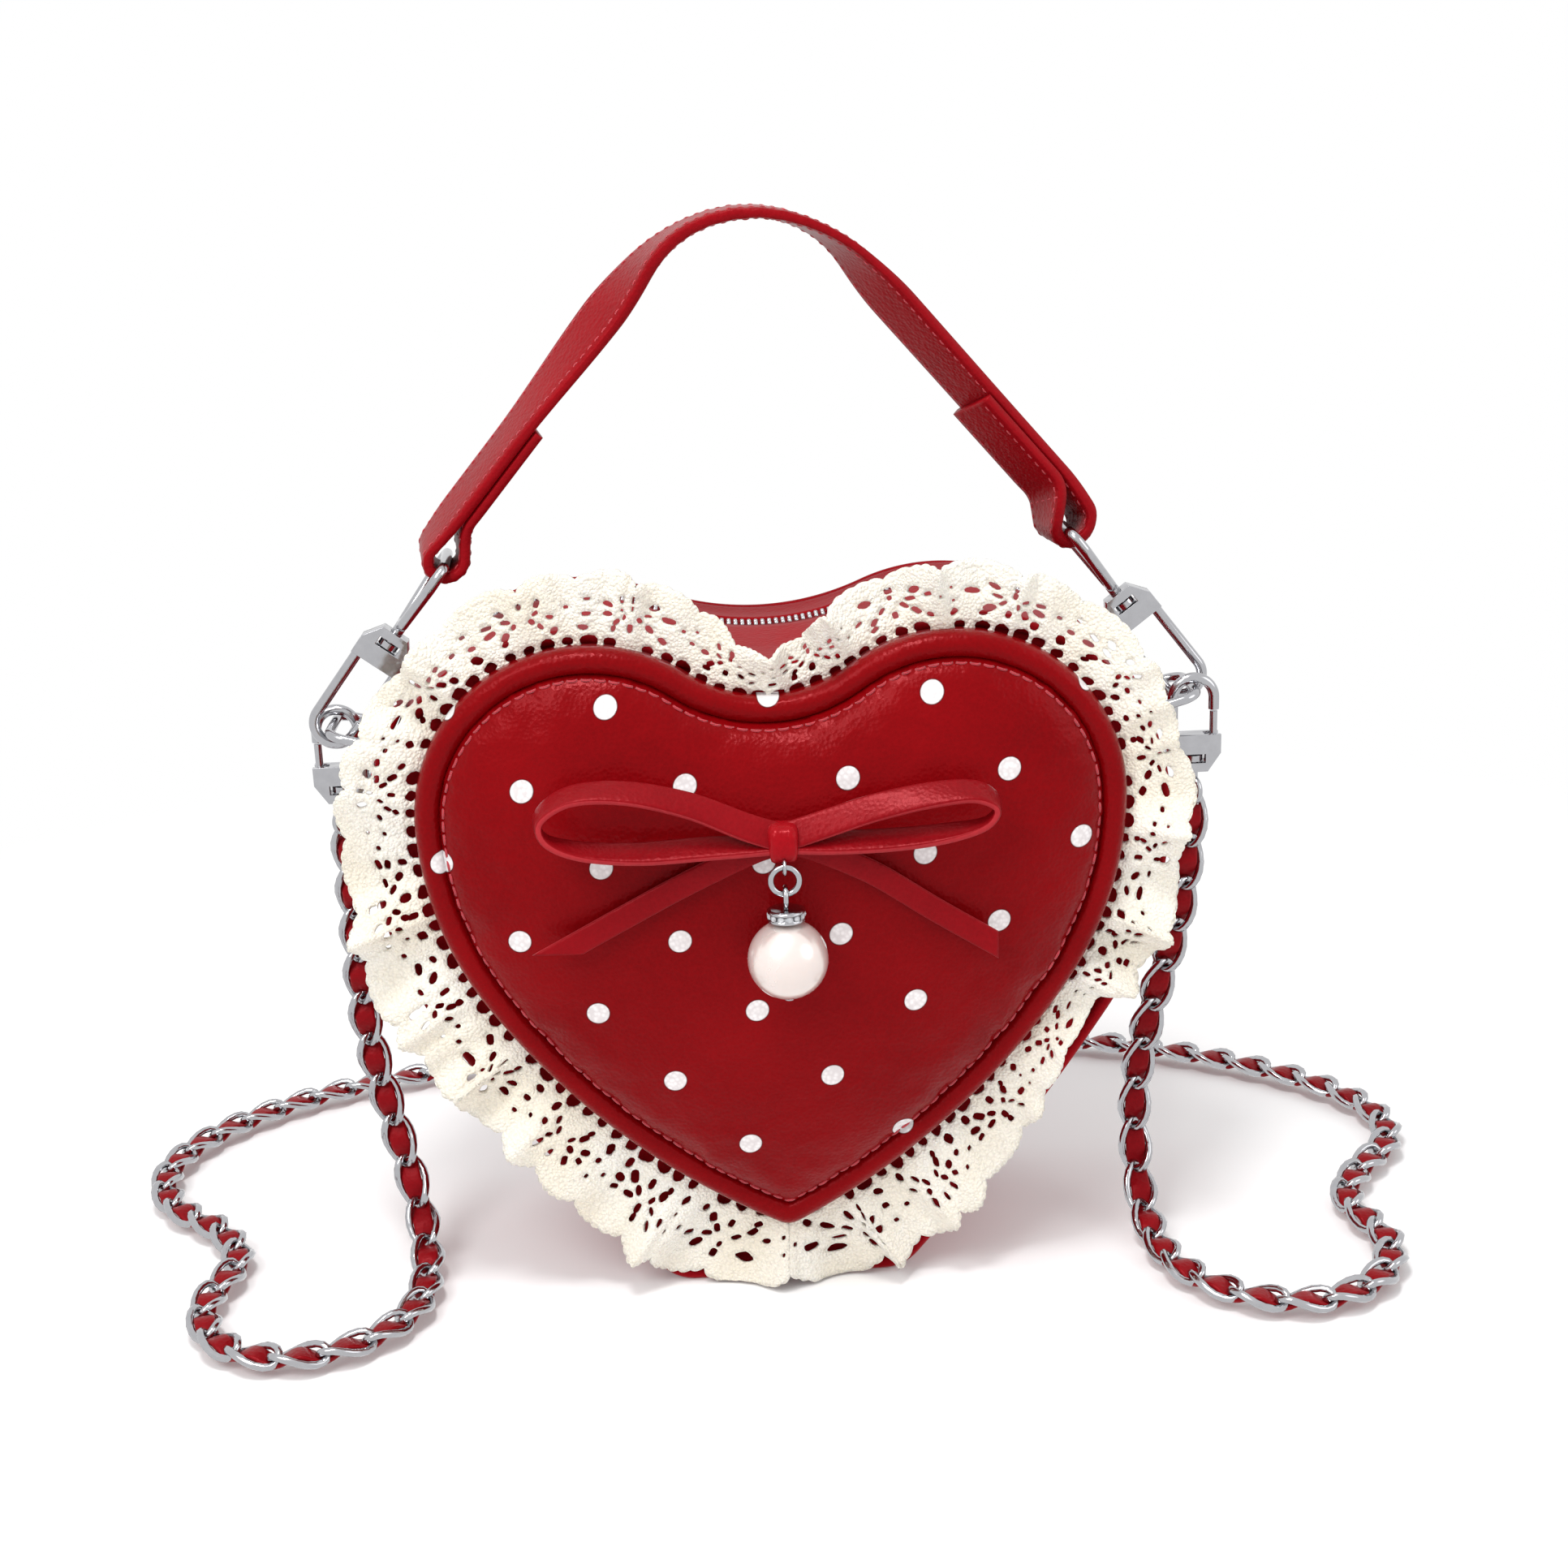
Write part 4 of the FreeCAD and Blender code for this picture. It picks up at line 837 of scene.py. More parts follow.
class PURSE_OT_chain_strap(bpy.types.Operator):
    """Curb chain with a strip of leather woven through its links"""

    bl_idname = "purse.chain_strap"
    bl_label = "Chain strap"

    def execute(self, context):
        s = sizes()
        floor = [(x, y, CHAIN_FLOOR) for x, y in LEFT_FLOOR + RIGHT_FLOOR]
        line = route_line("chain_route", [CHAIN_START, *LEFT_HANG, *floor, *RIGHT_HANG, CHAIN_END])
        whole = run_lengths(line)[-1]
        pitch = (whole - 2 * CHAIN_LEAD) / (CHAIN_LINKS - 1)

        linked = stretch(line, CHAIN_LEAD, whole - CHAIN_LEAD, 900)
        link = curb_link(s.link_length / MM, s.link_width / MM, s.link_wire / MM)
        # A hair under the pitch, so that rounding doesn't drop the last link
        links = repeat("chain_curb", [(linked, chain_ups(linked), False)], link, pitch * 0.999, "metal")
        on_bag(links, "bright_metal", "chain_links")

        middle = stretch(line, 0, whole, 880)
        ups = chain_ups(middle)
        far = np.linspace(0, whole, len(middle))
        weave = WEAVE_MIDDLE + WEAVE_SWING * np.cos(2 * math.pi * (far - CHAIN_LEAD) / pitch)
        section = oval(s.strip_width / MM, s.strip_thick / MM, 12, 0.45)
        woven = sweep(middle + ups * weave[:, None], ups, section)
        strip = closed_mesh("chain_strip", *woven, "strip leather")
        on_bag(strip, "red_leather", "chain_leather")
        return {"FINISHED"}


# The padded heart

SEAM_OFF = -5.9
SEAM_Y = RIM_FRONT + 1.2
PAD_STEP = 2.6
# How squarely the pad swells, how much of the crown it starts with and how far the cloth may move it
PAD_POWER, PAD_START, PAD_MOVE = 0.52, 0.9, 3.0
# Height and fineness of the puckers near the seam and of the broad hollows
PUCKER, PUCKER_FINE = 0.55, 0.16
HOLLOW, HOLLOW_FINE = 0.25, 0.05
# Height and fineness of the margin's unevenness, and how far back it goes
MARGIN_SWAY, MARGIN_FINE, MARGIN_FLAT = 0.22, 0.06, 5.0
# The margin's section, as offsets from the heart's edge and places behind its front
MARGIN_DEEP = PAD_BACK - RIM_FRONT
MARGIN_SECTION = [(-6.9, 2.8), (-6.4, 1.8), (-5.8, 0.8), (-5.0, 0.2), (-3.9, -0.2), (-2.6, -0.15),
                  (-1.4, 0.4), (-0.6, 1.3), (-0.1, 2.6), (0.0, 4.0), (0.0, MARGIN_DEEP - 0.8),
                  (-0.8, MARGIN_DEEP), (-6.9, MARGIN_DEEP)]


def membrane(spots, faces, fixed):
    """Heights of 0 to 1 of a sheet blown up evenly between fixed edges."""
    n = len(spots)
    pull = np.zeros((n, n))
    for a, b in ((0, 1), (1, 2), (2, 0)):
        pull[faces[:, a], faces[:, b]] = pull[faces[:, b], faces[:, a]] = -1.0
    np.fill_diagonal(pull, -pull.sum(1))
    free = ~fixed
    high = np.zeros(n)
    high[free] = np.linalg.solve(pull[np.ix_(free, free)], np.ones(free.sum()))
    return high / high.max()


def blow_up(piece, pinned, cap):
    """Swell a closed mesh with cloth pressure, with some points pinned and each move capped."""
    steps = 20
    rest = points_of(piece.data)
    group = piece.vertex_groups.new(name="sewn")
    group.add([int(i) for i in np.flatnonzero(pinned)], 1.0, "REPLACE")
    cloth = piece.modifiers.new("cloth", "CLOTH")
    for key, value in {
        "quality": 6, "vertex_group_mass": "sewn", "use_pressure": True, "uniform_pressure_force": 4.0,
        "tension_stiffness": 18.0, "compression_stiffness": 18.0, "bending_stiffness": 0.8,
    }.items():
        setattr(cloth.settings, key, value)
    cloth.settings.effector_weights.gravity = 0.0
    cloth.point_cache.frame_start, cloth.point_cache.frame_end = 1, steps
    for k in range(1, steps + 1):
        bpy.context.scene.frame_set(k)
    moved = points_of(evaluated(piece).data) - rest
    piece.modifiers.remove(cloth)
    piece.vertex_groups.remove(group)
    bpy.context.scene.frame_set(1)
    far = np.linalg.norm(moved, axis=1, keepdims=True)
    moved *= np.minimum(1.0, cap * MM / np.maximum(far, 1e-9))
    piece.data.vertices.foreach_set("co", (rest + moved).astype(np.float32).ravel())
    piece.data.update()
    return piece


def swollen(name, ring, step, power, face_y, flat_y, look):
    """A piece inside a closed line, with a shaped face and a flat one; and which points are its edge."""
    spots, faces = fill(ring, step)
    edge = np.min(np.linalg.norm(spots[:, None] - ring[None], axis=2), axis=1) < 0.01
    high = membrane(spots, faces, edge) ** power
    face = np.insert(spots, 1, face_y(spots, high), axis=1)
    flat = np.insert(spots, 1, flat_y, axis=1)
    n = len(spots)
    loop = [int(np.argmin(np.linalg.norm(spots - p, axis=1))) for p in ring]
    walls = [(a, b, b + n, a + n) for a, b in zip(loop, loop[1:] + loop[:1])]
    faces = [*faces, *[f[::-1] + n for f in faces], *walls]
    return closed_mesh(name, np.vstack([face, flat]), faces, look, 0.001), edge


def heart_pad():
    """The padded heart: a crowned front sewn down around its edge, on a flat back."""
    ring = PAD.walk(SEAM_OFF, np.arange(260) / 260)[0]
    pad, edge = swollen("heart_cushion", ring, PAD_STEP, PAD_POWER,
                        lambda spots, high: SEAM_Y + PAD_START * (CROWN_Y - SEAM_Y) * high,
                        PAD_BACK - 0.4, "dotted leather")
    blow_up(pad, np.concatenate([edge, np.ones(len(edge), bool)]), PAD_MOVE)
    modify(pad, "SUBSURF", levels=1, render_levels=1)
    mesh = pad.data
    co = points_of(mesh) / MM
    puffed = co[:, 1] < SEAM_Y
    co[puffed, 1] = SEAM_Y + (co[puffed, 1] - SEAM_Y) * (CROWN_Y - SEAM_Y) / (co[:, 1].min() - SEAM_Y)
    rise = np.clip((SEAM_Y - co[:, 1]) / (SEAM_Y - CROWN_Y), 0, 1)
    for k in np.flatnonzero(puffed):
        spot = Vector(co[k])
        pucker = noise.noise(spot * PUCKER_FINE) * PUCKER * rise[k] * (1 - rise[k]) ** 1.5 * 4
        co[k, 1] += pucker + HOLLOW * rise[k] * noise.noise(spot * HOLLOW_FINE)
    co[:, 1] = np.maximum(co[:, 1], CROWN_Y)
    mesh.vertices.foreach_set("co", (co * MM).astype(np.float32).ravel())
    mesh.update()
    return pad


def heart_margin():
    """The rolled margin: one rounded section carried around the heart."""
    count = 420
    shares = np.arange(count) / count
    rings = []
    for off, back in MARGIN_SECTION:
        spots = PAD.walk(off, shares)[0]
        sway = MARGIN_SWAY if back < MARGIN_FLAT else 0.0
        ring = []
        for x, z in spots:
            y = RIM_FRONT + back + sway * noise.noise((x * MARGIN_FINE, back, z * MARGIN_FINE))
            ring.append((x, max(y, RIM_FRONT - 0.5), z))
        rings.append(ring)
    points = np.transpose(np.array(rings), (1, 0, 2)).reshape(-1, 3)
    faces = tube_faces(count, len(MARGIN_SECTION), True)
    return closed_mesh("heart_margin", points, faces, "dotted leather")


class PURSE_OT_padded_heart(bpy.types.Operator):
    """Padded front heart with its rolled, stitched margin"""

    bl_idname = "purse.padded_heart"
    bl_label = "Padded heart"

    def execute(self, context):
        s = sizes()
        pad = on_bag(heart_pad(), "red_leather", "heart_pad")
        on_bag(heart_margin(), "red_leather", "heart_rim")
        spots = PAD.walk(SEAM_OFF - 1.6, np.arange(900) / 900)[0]
        corners = [v.co for v in pad.data.vertices]
        tree = BVHTree.FromPolygons(corners, [p.vertices for p in pad.data.polygons])
        line = []
        for x, z in spots:
            hit = tree.ray_cast(Vector((x * MM, CROWN_Y * MM - 0.05, z * MM)), Vector((0, 1, 0)))[0]
            line.append((x, hit.y / MM - 0.05, z))
        sewn = repeat("heart_stitches", [(np.array(line), (0, -1, 0), True)],
                      stitch(s.stitch_length / MM, s.thread / MM), s.stitch_pitch / MM, "thread", 0.15)
        on_bag(sewn, "red_leather")
        return {"FINISHED"}


# The lace

# Where the lace is sewn on, as an offset from the heart's edge and a depth, and how its width is laid out
LACE_IN, LACE_SEW_Y, LACE_SPREAD = -4.0, FRONT_Y - 0.6, 0.9
# The lace is eased around the tip over this share of the way round
LACE_EASE = 0.035
LACE_SEED, LACE_MOTIFS = 11, 6
# The lace's thickness, and the lowest that its middle may hang
LACE_THICK, LACE_LOW = 0.9, 0.9
# Gathers around the heart, and the width of lace over which they grow to their full height
RUFFLES, RUFFLE_FULL = 21, 22
# The outer edge: how far its scallops and the picots on them stand out
SCALLOP, PICOT = 2.6, 0.5


def lace_edge(along, width):
    """The flat lace's outer edge: two scallops to a motif, each with small picots."""
    turns = np.asarray(along) * 2 * math.pi
    return width + SCALLOP * np.abs(np.sin(turns)) ** 0.8 + PICOT * np.abs(np.sin(turns * 6))


def lace_holes(tile, rng):
    """Openings of one motif of lace, each as a ring of points, in millimetres."""
    holes = []

    def open_at(x, y, long, wide, turn):
        # Openings vary in size, and those that would be smallest are left shut
        grow = rng.uniform(0.7, 1.2)
        if grow < 0.76:
            return
        points = np.array(oval(2 * long * grow, 2 * wide * grow, 10, rng.uniform(0.6, 1.0)))
        c, w = math.cos(turn), math.sin(turn)
        spot = (x + rng.uniform(-0.2, 0.2), y + rng.uniform(-0.2, 0.2))
        holes.append(points @ np.array([[c, w], [-w, c]]) + spot)

    # A row of large openings near the sewn edge, and a row of small ones with a gap
    for k in range(5):
        open_at(tile * (k + 0.5) / 5, 5.6, 2.1, 1.75, rng.uniform(-0.6, 0.6))
    for k in range(4):
        if k != 2:
            open_at(tile * (k + 0.2) / 4, 9.6, 1.35, 1.05, rng.uniform(0, 3))
    # Two wreaths of openings: how many, first turn, reach along and across, and an opening's size
    middle_x, middle_y = tile / 2, 15.0
    for count, first, reach, rise, long, wide in ((10, math.pi / 10, 8.4, 4.2, 1.4, 0.95),
                                                  (5, 0.3, 4.0, 1.75, 1.15, 0.72)):
        for k in range(count):
            turn = 2 * math.pi * k / count + first
            open_at(middle_x + reach * math.cos(turn), middle_y + rise * math.sin(turn), long, wide, turn)
    for spot in ((1.7, 17.6, 0.6, 0.6), (tile - 1.8, 15.4, 0.65, 0.6), (1.9, 13.2, 0.8, 0.7)):
        open_at(*spot, 0)
    return holes


def lace_tile(tile, width, rng):
    """One motif of flat lace as triangles; its two ends have the same points, so motifs join."""
    across = np.linspace(0, float(lace_edge(0.0, width)), 18)
    along = np.linspace(0, tile, 61)[1:-1]
    rim = np.concatenate([
        [(0.0, v) for v in across],
        [(x, float(lace_edge(x / tile, width))) for x in along],
        [(tile, v) for v in across[::-1]],
        [(x, 0.0) for x in np.linspace(tile, 0, 22)[1:-1]],
    ])
    return fill(rim, 1.35, lace_holes(tile, rng))


# How much further or less far the lace's outer edge stands out, at shares of the way round
# from the dip: least in the dip and low on the right, most at both sides of the tip
LACE_ROUND = (0.0, 0.02, 0.04, 0.08, 0.16, 0.2, 0.22, 0.24, 0.27, 0.3, 0.32,
              0.345, 0.365, 0.39, 0.42, 0.45, 0.48, 0.5, 0.515, 0.535, 0.565,
              0.61, 0.64, 0.72, 0.755, 0.8, 0.84, 0.88, 0.92, 0.96, 0.98, 1.0)
LACE_REACH = (-9.0, -7.0, -4.3, -2.6, -2.3, -4.8, -1.3, -4.8, -0.3, -1.5, -8.5,
              -9.0, -4.5, 1.5, 5.5, 7.5, 5.5, 4.5, 6.5, 9.0, 9.0,
              5.0, 4.2, 5.6, 0.8, -0.3, -2.8, -1.3, -0.3, -3.3, -6.8, -9.0)
# The strong folds: share of the way round, width of the fold and its height in millimetres
LACE_FOLDS = ((0.045, 0.011, 3.0), (0.165, 0.010, 3.5), (0.205, 0.008, 5.0), (0.236, 0.010, 4.5),
              (0.27, 0.009, 3.5), (0.345, 0.013, 6.5), (0.47, 0.009, 2.0), (0.66, 0.012, 2.5),
              (0.79, 0.012, 3.0), (0.952, 0.011, 3.0))


def lace_spot(off, at):
    """A place on the line that far outside the padded heart, eased around its tip."""
    ease = max(0.0, LACE_EASE - abs(at % 1.0 - 0.5))
    return PAD.walk(off, at + ease * np.linspace(-1, 1, 7))[0].mean(axis=0)


def ruffled(flat, whole, wave):
    """Places of the flat lace's points once it is gathered around the heart."""
    share = flat[:, 0] / whole
    out = flat[:, 1]
    at = (share + 0.5) % 1.0
    turns = 2 * math.pi * share
    # Gathers of uneven length and height, which lean to either side
    phase = RUFFLES * turns + 1.6 * np.sin(5 * turns + 0.6) + 0.8 * np.sin(11 * turns + 2.0)
    full = np.clip(out / RUFFLE_FULL, 0, 1)
    tall = wave * (1.0 + 0.4 * np.sin(4 * turns + 1.0) + 0.35 * np.sin(9 * turns + 0.4)) * full
    front = 1.6 + 3.2 * full ** 0.7 + tall * np.sin(phase) + 0.8 * full * np.sin(3.1 * phase + 1.0)
    lean = 1.5 * full * np.cos(phase) + 1.2 * full * np.sin(8 * turns + 0.3)
    for spot, wide, high in LACE_FOLDS:
        away = (at - spot + 0.5) % 1.0 - 0.5
        bell = np.exp(-(away / wide) ** 2) * full
        front += high * bell
        lean += -2.4 * away / wide * bell
    reach = np.interp(at, LACE_ROUND, LACE_REACH)
    round_the = 2 * PAD.half
    edge = flat[:, 1].max()
    places = np.zeros((len(flat), 3))
    for k in range(len(flat)):
        off = LACE_IN + out[k] * LACE_SPREAD + reach[k] * (out[k] / edge) ** 1.5
        x, z = lace_spot(off, at[k] + lean[k] / round_the)
        places[k] = (x, min(LACE_SEW_Y - front[k], LACE_SEW_Y - 0.6), max(z, LACE_LOW))
    return places


class PURSE_OT_lace(bpy.types.Operator):
    """Gathered cotton lace around the padded heart"""

    bl_idname = "purse.lace"
    bl_label = "Lace ruffle"

    def execute(self, context):
        s = sizes()
        rng = random.Random(LACE_SEED)
        tile, width = s.lace_tile / MM, s.lace_width / MM
        motifs = [lace_tile(tile, width, rng) for k in range(LACE_MOTIFS)]
        points, faces = [], []
        for k in range(s.lace_tiles):
            spots, triangles = motifs[k % len(motifs)]
            faces += [tuple(f + sum(len(p) for p in points)) for f in triangles]
            points.append(spots + (k * tile, 0.0))
        flat = np.vstack(points)
        whole = tile * s.lace_tiles
        a, b, c = (flat[np.array(faces)[:, k]] for k in range(3))
        lace = add_mesh("lace_edging", ruffled(flat, whole, s.lace_wave / MM), faces, finish("lace"))
        close_up(lace, 0.02)
        modify(lace, "SOLIDIFY", thickness=LACE_THICK * MM, offset=0.0)
        on_bag(lace, "lace_cotton", "lace_ruffle")
        return {"FINISHED"}


# The bow and its pendant

BOW_X, BOW_Z = 1.5, 131.0
KNOT_WIDE, KNOT_TALL, KNOT_DEEP = 7.6, 9.8, 10.0
KNOT_BACK = CROWN_Y - 0.5
BOW_STRIP, BOW_TAIL, BOW_THICK = 7.0, 5.9, 1.9
# How far behind the knot's front the loops' own zero lies, and how far the loops stay off the crown
BOW_SET, BOW_CLEAR = 9.4, 3.6
# The knot's barrel from side to side: places along it and how wide it is there
KNOT_RINGS = [(-1.0, 0.5), (-0.97, 0.74), (-0.87, 0.9), (-0.68, 0.985), (-0.35, 1.02), (0.0, 0.98),
              (0.35, 1.02), (0.68, 0.985), (0.87, 0.9), (0.97, 0.74), (1.0, 0.5)]

# Each loop's way out and back: x, y and z from a point inside the knot, and the way that the
# strip's outer face looks there
LEFT_LOOP = [
    (-1.0, -5.6, 1.6, 0.25, -1.0, 0.55), (-9.0, -5.4, 4.6, 0.25, -1.0, 0.75),
    (-22.0, -5.2, 10.4, 0.3, -0.85, 0.9), (-37.0, -5.3, 14.3, 0.05, -0.6, 1.0),
    (-50.0, -5.5, 14.2, -0.45, -0.4, 0.95), (-57.6, -5.7, 9.4, -1.0, -0.2, 0.3),
    (-56.6, -5.7, 3.8, -0.9, -0.05, -0.6), (-48.0, -5.5, 0.4, -0.25, 0.3, -1.0),
    (-34.0, -5.3, -1.0, 0.0, 0.5, -1.0), (-18.0, -5.0, -0.6, 0.0, 0.55, -1.0),
    (-1.0, -4.6, -0.6, 0.0, 0.3, -1.0),
]
RIGHT_LOOP = [
    (1.0, -5.6, 1.6, -0.2, -1.0, 0.5), (9.0, -5.4, 3.9, -0.2, -1.0, 0.7),
    (22.0, -5.2, 7.6, -0.2, -0.95, 0.8), (36.0, -5.3, 10.2, -0.05, -0.75, 0.95),
    (46.5, -5.5, 10.5, 0.4, -0.5, 0.9), (51.6, -5.7, 7.0, 1.0, -0.2, 0.2),
    (49.0, -5.7, 2.7, 0.5, -0.05, -0.9), (40.0, -5.5, 0.6, 0.1, 0.3, -1.0),
    (28.0, -5.2, -0.5, 0.0, 0.5, -1.0), (14.0, -5.0, -0.7, 0.0, 0.55, -1.0),
    (1.0, -4.6, -0.6, 0.0, 0.3, -1.0),
]
STAPLE_R, STAPLE_WIRE = 1.75, 0.9
# Each tail's way down over the heart, as x, height in front of the crown and z
LEFT_TAIL = [(-1.0, 4.4, -0.8), (-8.0, 3.4, -3.2), (-25.0, 1.8, -11.4), (-42.0, 1.5, -20.2),
             (-55.6, 1.9, -27.2)]
RIGHT_TAIL = [(1.0, 4.4, -0.8), (8.0, 3.4, -3.0), (22.0, 1.9, -10.4), (37.0, 1.5, -20.8),
              (52.0, 2.0, -30.4)]
# How steeply each tail's end is cut
LEFT_CUT, RIGHT_CUT = 1.9, 0.62


def strip_mesh(name, line, ups, wide, thick, cut=0.0):
    """A flat strip of leather whose cut edges are paler, partly the raw edge's own colour and partly a
    painted highlight; cut slants its far end.
    """
    section = oval(wide, thick, 20, 0.4)
    points, faces = sweep(line, ups, section)
    points = np.array(points)
    if cut:
        along = line_frames(line, ups)[0]
        last = np.clip((np.linspace(0, 1, len(line)) - 0.75) / 0.25, 0, 1) ** 2
        for i, share in enumerate(last):
            for j, (a, b) in enumerate(section):
                points[i * len(section) + j] += along[i] * a * cut * share
    piece = add_mesh(name, points, faces, finish("strip leather"))
    # The ends and cut edges take the paler edge finish, which is partly a painted highlight
    piece.data.materials.append(finish("cut edge"))
    cols = len(section)
    outer = [abs(a) > 0.47 * wide for a, b in section]
    edge = [k for k in range(cols) if outer[k] and outer[(k + 1) % cols]]
    for face in piece.data.polygons:
        end = face.index >= cols * (len(line) - 1)
        face.material_index = int(end or face.index % cols in edge)
    return close_up(piece)


def bow_knot():
    """The knot: a strip wrapped once around, seen as a rounded barrel with faint creases."""
    points = []
    round_it = oval(KNOT_DEEP, KNOT_TALL, 40, 0.75)
    for x, scale in KNOT_RINGS:
        for y, z in round_it:
            crease = 0.22 * math.sin(6.0 * x + 0.5 * z)
            waist = 0.94 + 0.012 * z
            points.append((BOW_X + x * waist * KNOT_WIDE / 2,
                           KNOT_BACK - KNOT_DEEP / 2 + y * scale + crease, BOW_Z + z * scale))
    return closed_mesh("bow_wrap", points, tube_faces(len(KNOT_RINGS), len(round_it)), "knot leather")


def circle(centre, axis, radius, height, count):
    """Points of a circle around an axis, that high along it from the centre."""
    turn = Vector(axis).normalized().to_track_quat("Z", "Y").to_matrix()
    return [turn @ Vector((radius * math.cos(t), radius * math.sin(t), height)) + Vector(centre)
            for t in (2 * math.pi * k / count for k in range(count))]


def lathe(profile, centre, count=48, axis=(0, 0, 1)):
    """Points and faces of a profile of (radius, height) pairs turned around an axis."""
    points = [p for r, h in profile for p in circle(centre, axis, r, h, count)]
    return points, tube_faces(len(profile), count)


class PURSE_OT_bow(bpy.types.Operator):
    """Leather bow: two loops, two tails and a knot"""

    bl_idname = "purse.bow"
    bl_label = "Bow"

    def execute(self, context):
        middle = np.array([BOW_X, KNOT_BACK - KNOT_DEEP + BOW_SET, BOW_Z])
        for side, bends in (("left", LEFT_LOOP), ("right", RIGHT_LOOP)):
            way = through(bends, 110)
            line = way[:, :3] + middle
            line[:, 1] = np.minimum(line[:, 1], CROWN_Y - BOW_CLEAR)
            loop = strip_mesh("bow_strip_" + side, line, unit(way[:, 3:]), BOW_STRIP, BOW_THICK)
            on_bag(loop, "red_leather", "bow_loop_" + side)
        for side, bends, cut in (("left", LEFT_TAIL, LEFT_CUT), ("right", RIGHT_TAIL, RIGHT_CUT)):
            way = through(bends, 60)
            line = np.stack([BOW_X + way[:, 0], CROWN_Y - way[:, 1], BOW_Z + way[:, 2]], 1)
            tail = strip_mesh("bow_end_" + side, line, (0, -1, 0.12), BOW_TAIL, BOW_THICK, cut)
            on_bag(tail, "red_leather", "bow_tail_" + side)
        on_bag(bow_knot(), "red_leather", "bow_knot")
        spot, axis = joint("jump_ring_lift")[0], (1, 0, 0)
        line = np.array(circle(spot, axis, STAPLE_R, 0, 24))
        bent = sweep(line, axis, oval(STAPLE_WIRE, STAPLE_WIRE, 8), loop=True)
        on_bag(closed_mesh("pendant_staple", *bent, "metal"), "bright_metal")
        return {"FINISHED"}


class PURSE_OT_pendant(bpy.types.Operator):
    """Pearl pendant under a ring of cut stones"""

    bl_idname = "purse.pendant"
    bl_label = "Pendant"

    def execute(self, context):
        low, high = box("pearl")
        r = (high[0] - low[0]) / 2
        centre = (low + high) / 2
        bore, lip = 0.62, 0.4
        turns = [math.pi * (k / 40 - 0.5) for k in range(1, 40)]
        ball = [(r * math.cos(t), r * math.sin(t)) for t in turns if r * math.cos(t) > bore + lip]
        profile = [(bore, -r + 0.3), *ball, (bore, r - 0.3)]
        pearl = closed_mesh("pendant_pearl", *lathe(profile, centre, 64), "nacre")
        belongs(pearl, "pendant", "pearl", "pearl")

        low, high = box("rondelle")
        centre = (low + high) / 2
        half, r = (high[2] - low[2]) / 2, (high[0] - low[0]) / 2
        rising = [(bore, -half), (r * 0.8, -half), (r, -half + 0.35), (r * 0.99, -half + 0.8),
                  (r * 0.86, -half + 1.1)]
        profile = rising + [(a, -h) for a, h in rising[::-1]]
        cup = closed_mesh("pendant_cup", *lathe(profile, centre, 40), "metal")
        belongs(cup, "pendant", "bright_metal", "rondelle")
        turns = np.linspace(0, 2 * math.pi, 73)[:-1]
        out = np.stack([np.cos(turns), np.sin(turns), np.zeros_like(turns)], 1)
        facets = [(0.05, 0.55), (0.55, 0.42), (0.85, 0.0), (0.3, -0.55)]
        stone = close_up(add_mesh("stone", *lathe(facets, (0, 0, 0), 8), smooth=False))
        # A little over twelve steps, so that rounding doesn't drop a stone
        belt = r * 0.92
        stones = repeat("pendant_stones", [(centre + out * belt, out, True)], stone,
                        2 * math.pi * belt / 12.02, "stones")
        belongs(stones, "pendant", "stone", "rondelle_stones")
        return {"FINISHED"}


# The body

WALL = 2.4
GUSSET_FRONT, GUSSET_BACK = FRONT_Y + BEAD, BACK_Y - BEAD
TAPE = 4.0
# The lowest that a visual piece may reach, just above the floor
FLOOR = 0.02
# The piping's width as a share of the solid bead's
PIPING = 1.12
# The ring tabs in degrees around the lobe: ends, middle and width of the roll over the ring, and seams
TAB_FROM, TAB_TO = 12.2, 31.8
TAB_ROLL, TAB_ROLL_WIDE, TAB_ROLL_HIGH = 22.0, 2.6, 2.7
TAB_SEAMS = ((12.8, 18.6), (25.6, 31.2))
# The tabs' height above the lobe, thickness, and their stitches' inset, length and spacing
TAB_LIFT, TAB_THICK = 1.25, 2.2
TAB_STITCH_IN, TAB_STITCH, TAB_STITCH_PITCH = 1.6, 2.0, 2.6


def share_at(height):
    """The share of the way round the body, down its right side, where it falls to a height."""
    shares = np.linspace(0.02, 0.5, 4000)
    z = BODY.walk(0.0, shares)[0][:, 1]
    top = int(np.argmax(z))
    return float(shares[top + int(np.argmax(z[top:] < height))])


def around(name, section, shares, look, loop=False, sway=0.0):
    """A closed section of (offset, y) pairs carried around the body; sway makes it uneven."""
    rings = []
    for off, y in section:
        spots, out = BODY.walk(off, shares)
        if sway:
            uneven = [[sway * noise.noise((x * 0.045, y * 0.06, z * 0.045))] for x, z in spots]
            spots = spots + out * np.array(uneven)
        rings.append(np.insert(spots, 1, y, axis=1))
    points = np.transpose(np.array(rings), (1, 0, 2)).reshape(-1, 3)
    points[:, 2] = np.maximum(points[:, 2], FLOOR)
    return closed_mesh(name, points, tube_faces(len(shares), len(section), loop), look)


def wall_section(front, back, sag, count):
    """A wall's section: an outer face that sags between its edges, rounded edges and an inner face."""
    inset, drop = 0.5, 0.6
    face = [(-sag * math.sin(math.pi * k) ** 1.5, front + inset + (back - front - 2 * inset) * k)
            for k in np.linspace(0, 1, count)]
    return [(-drop, front), *face, (-drop, back), (-WALL, back), (-WALL, front)]


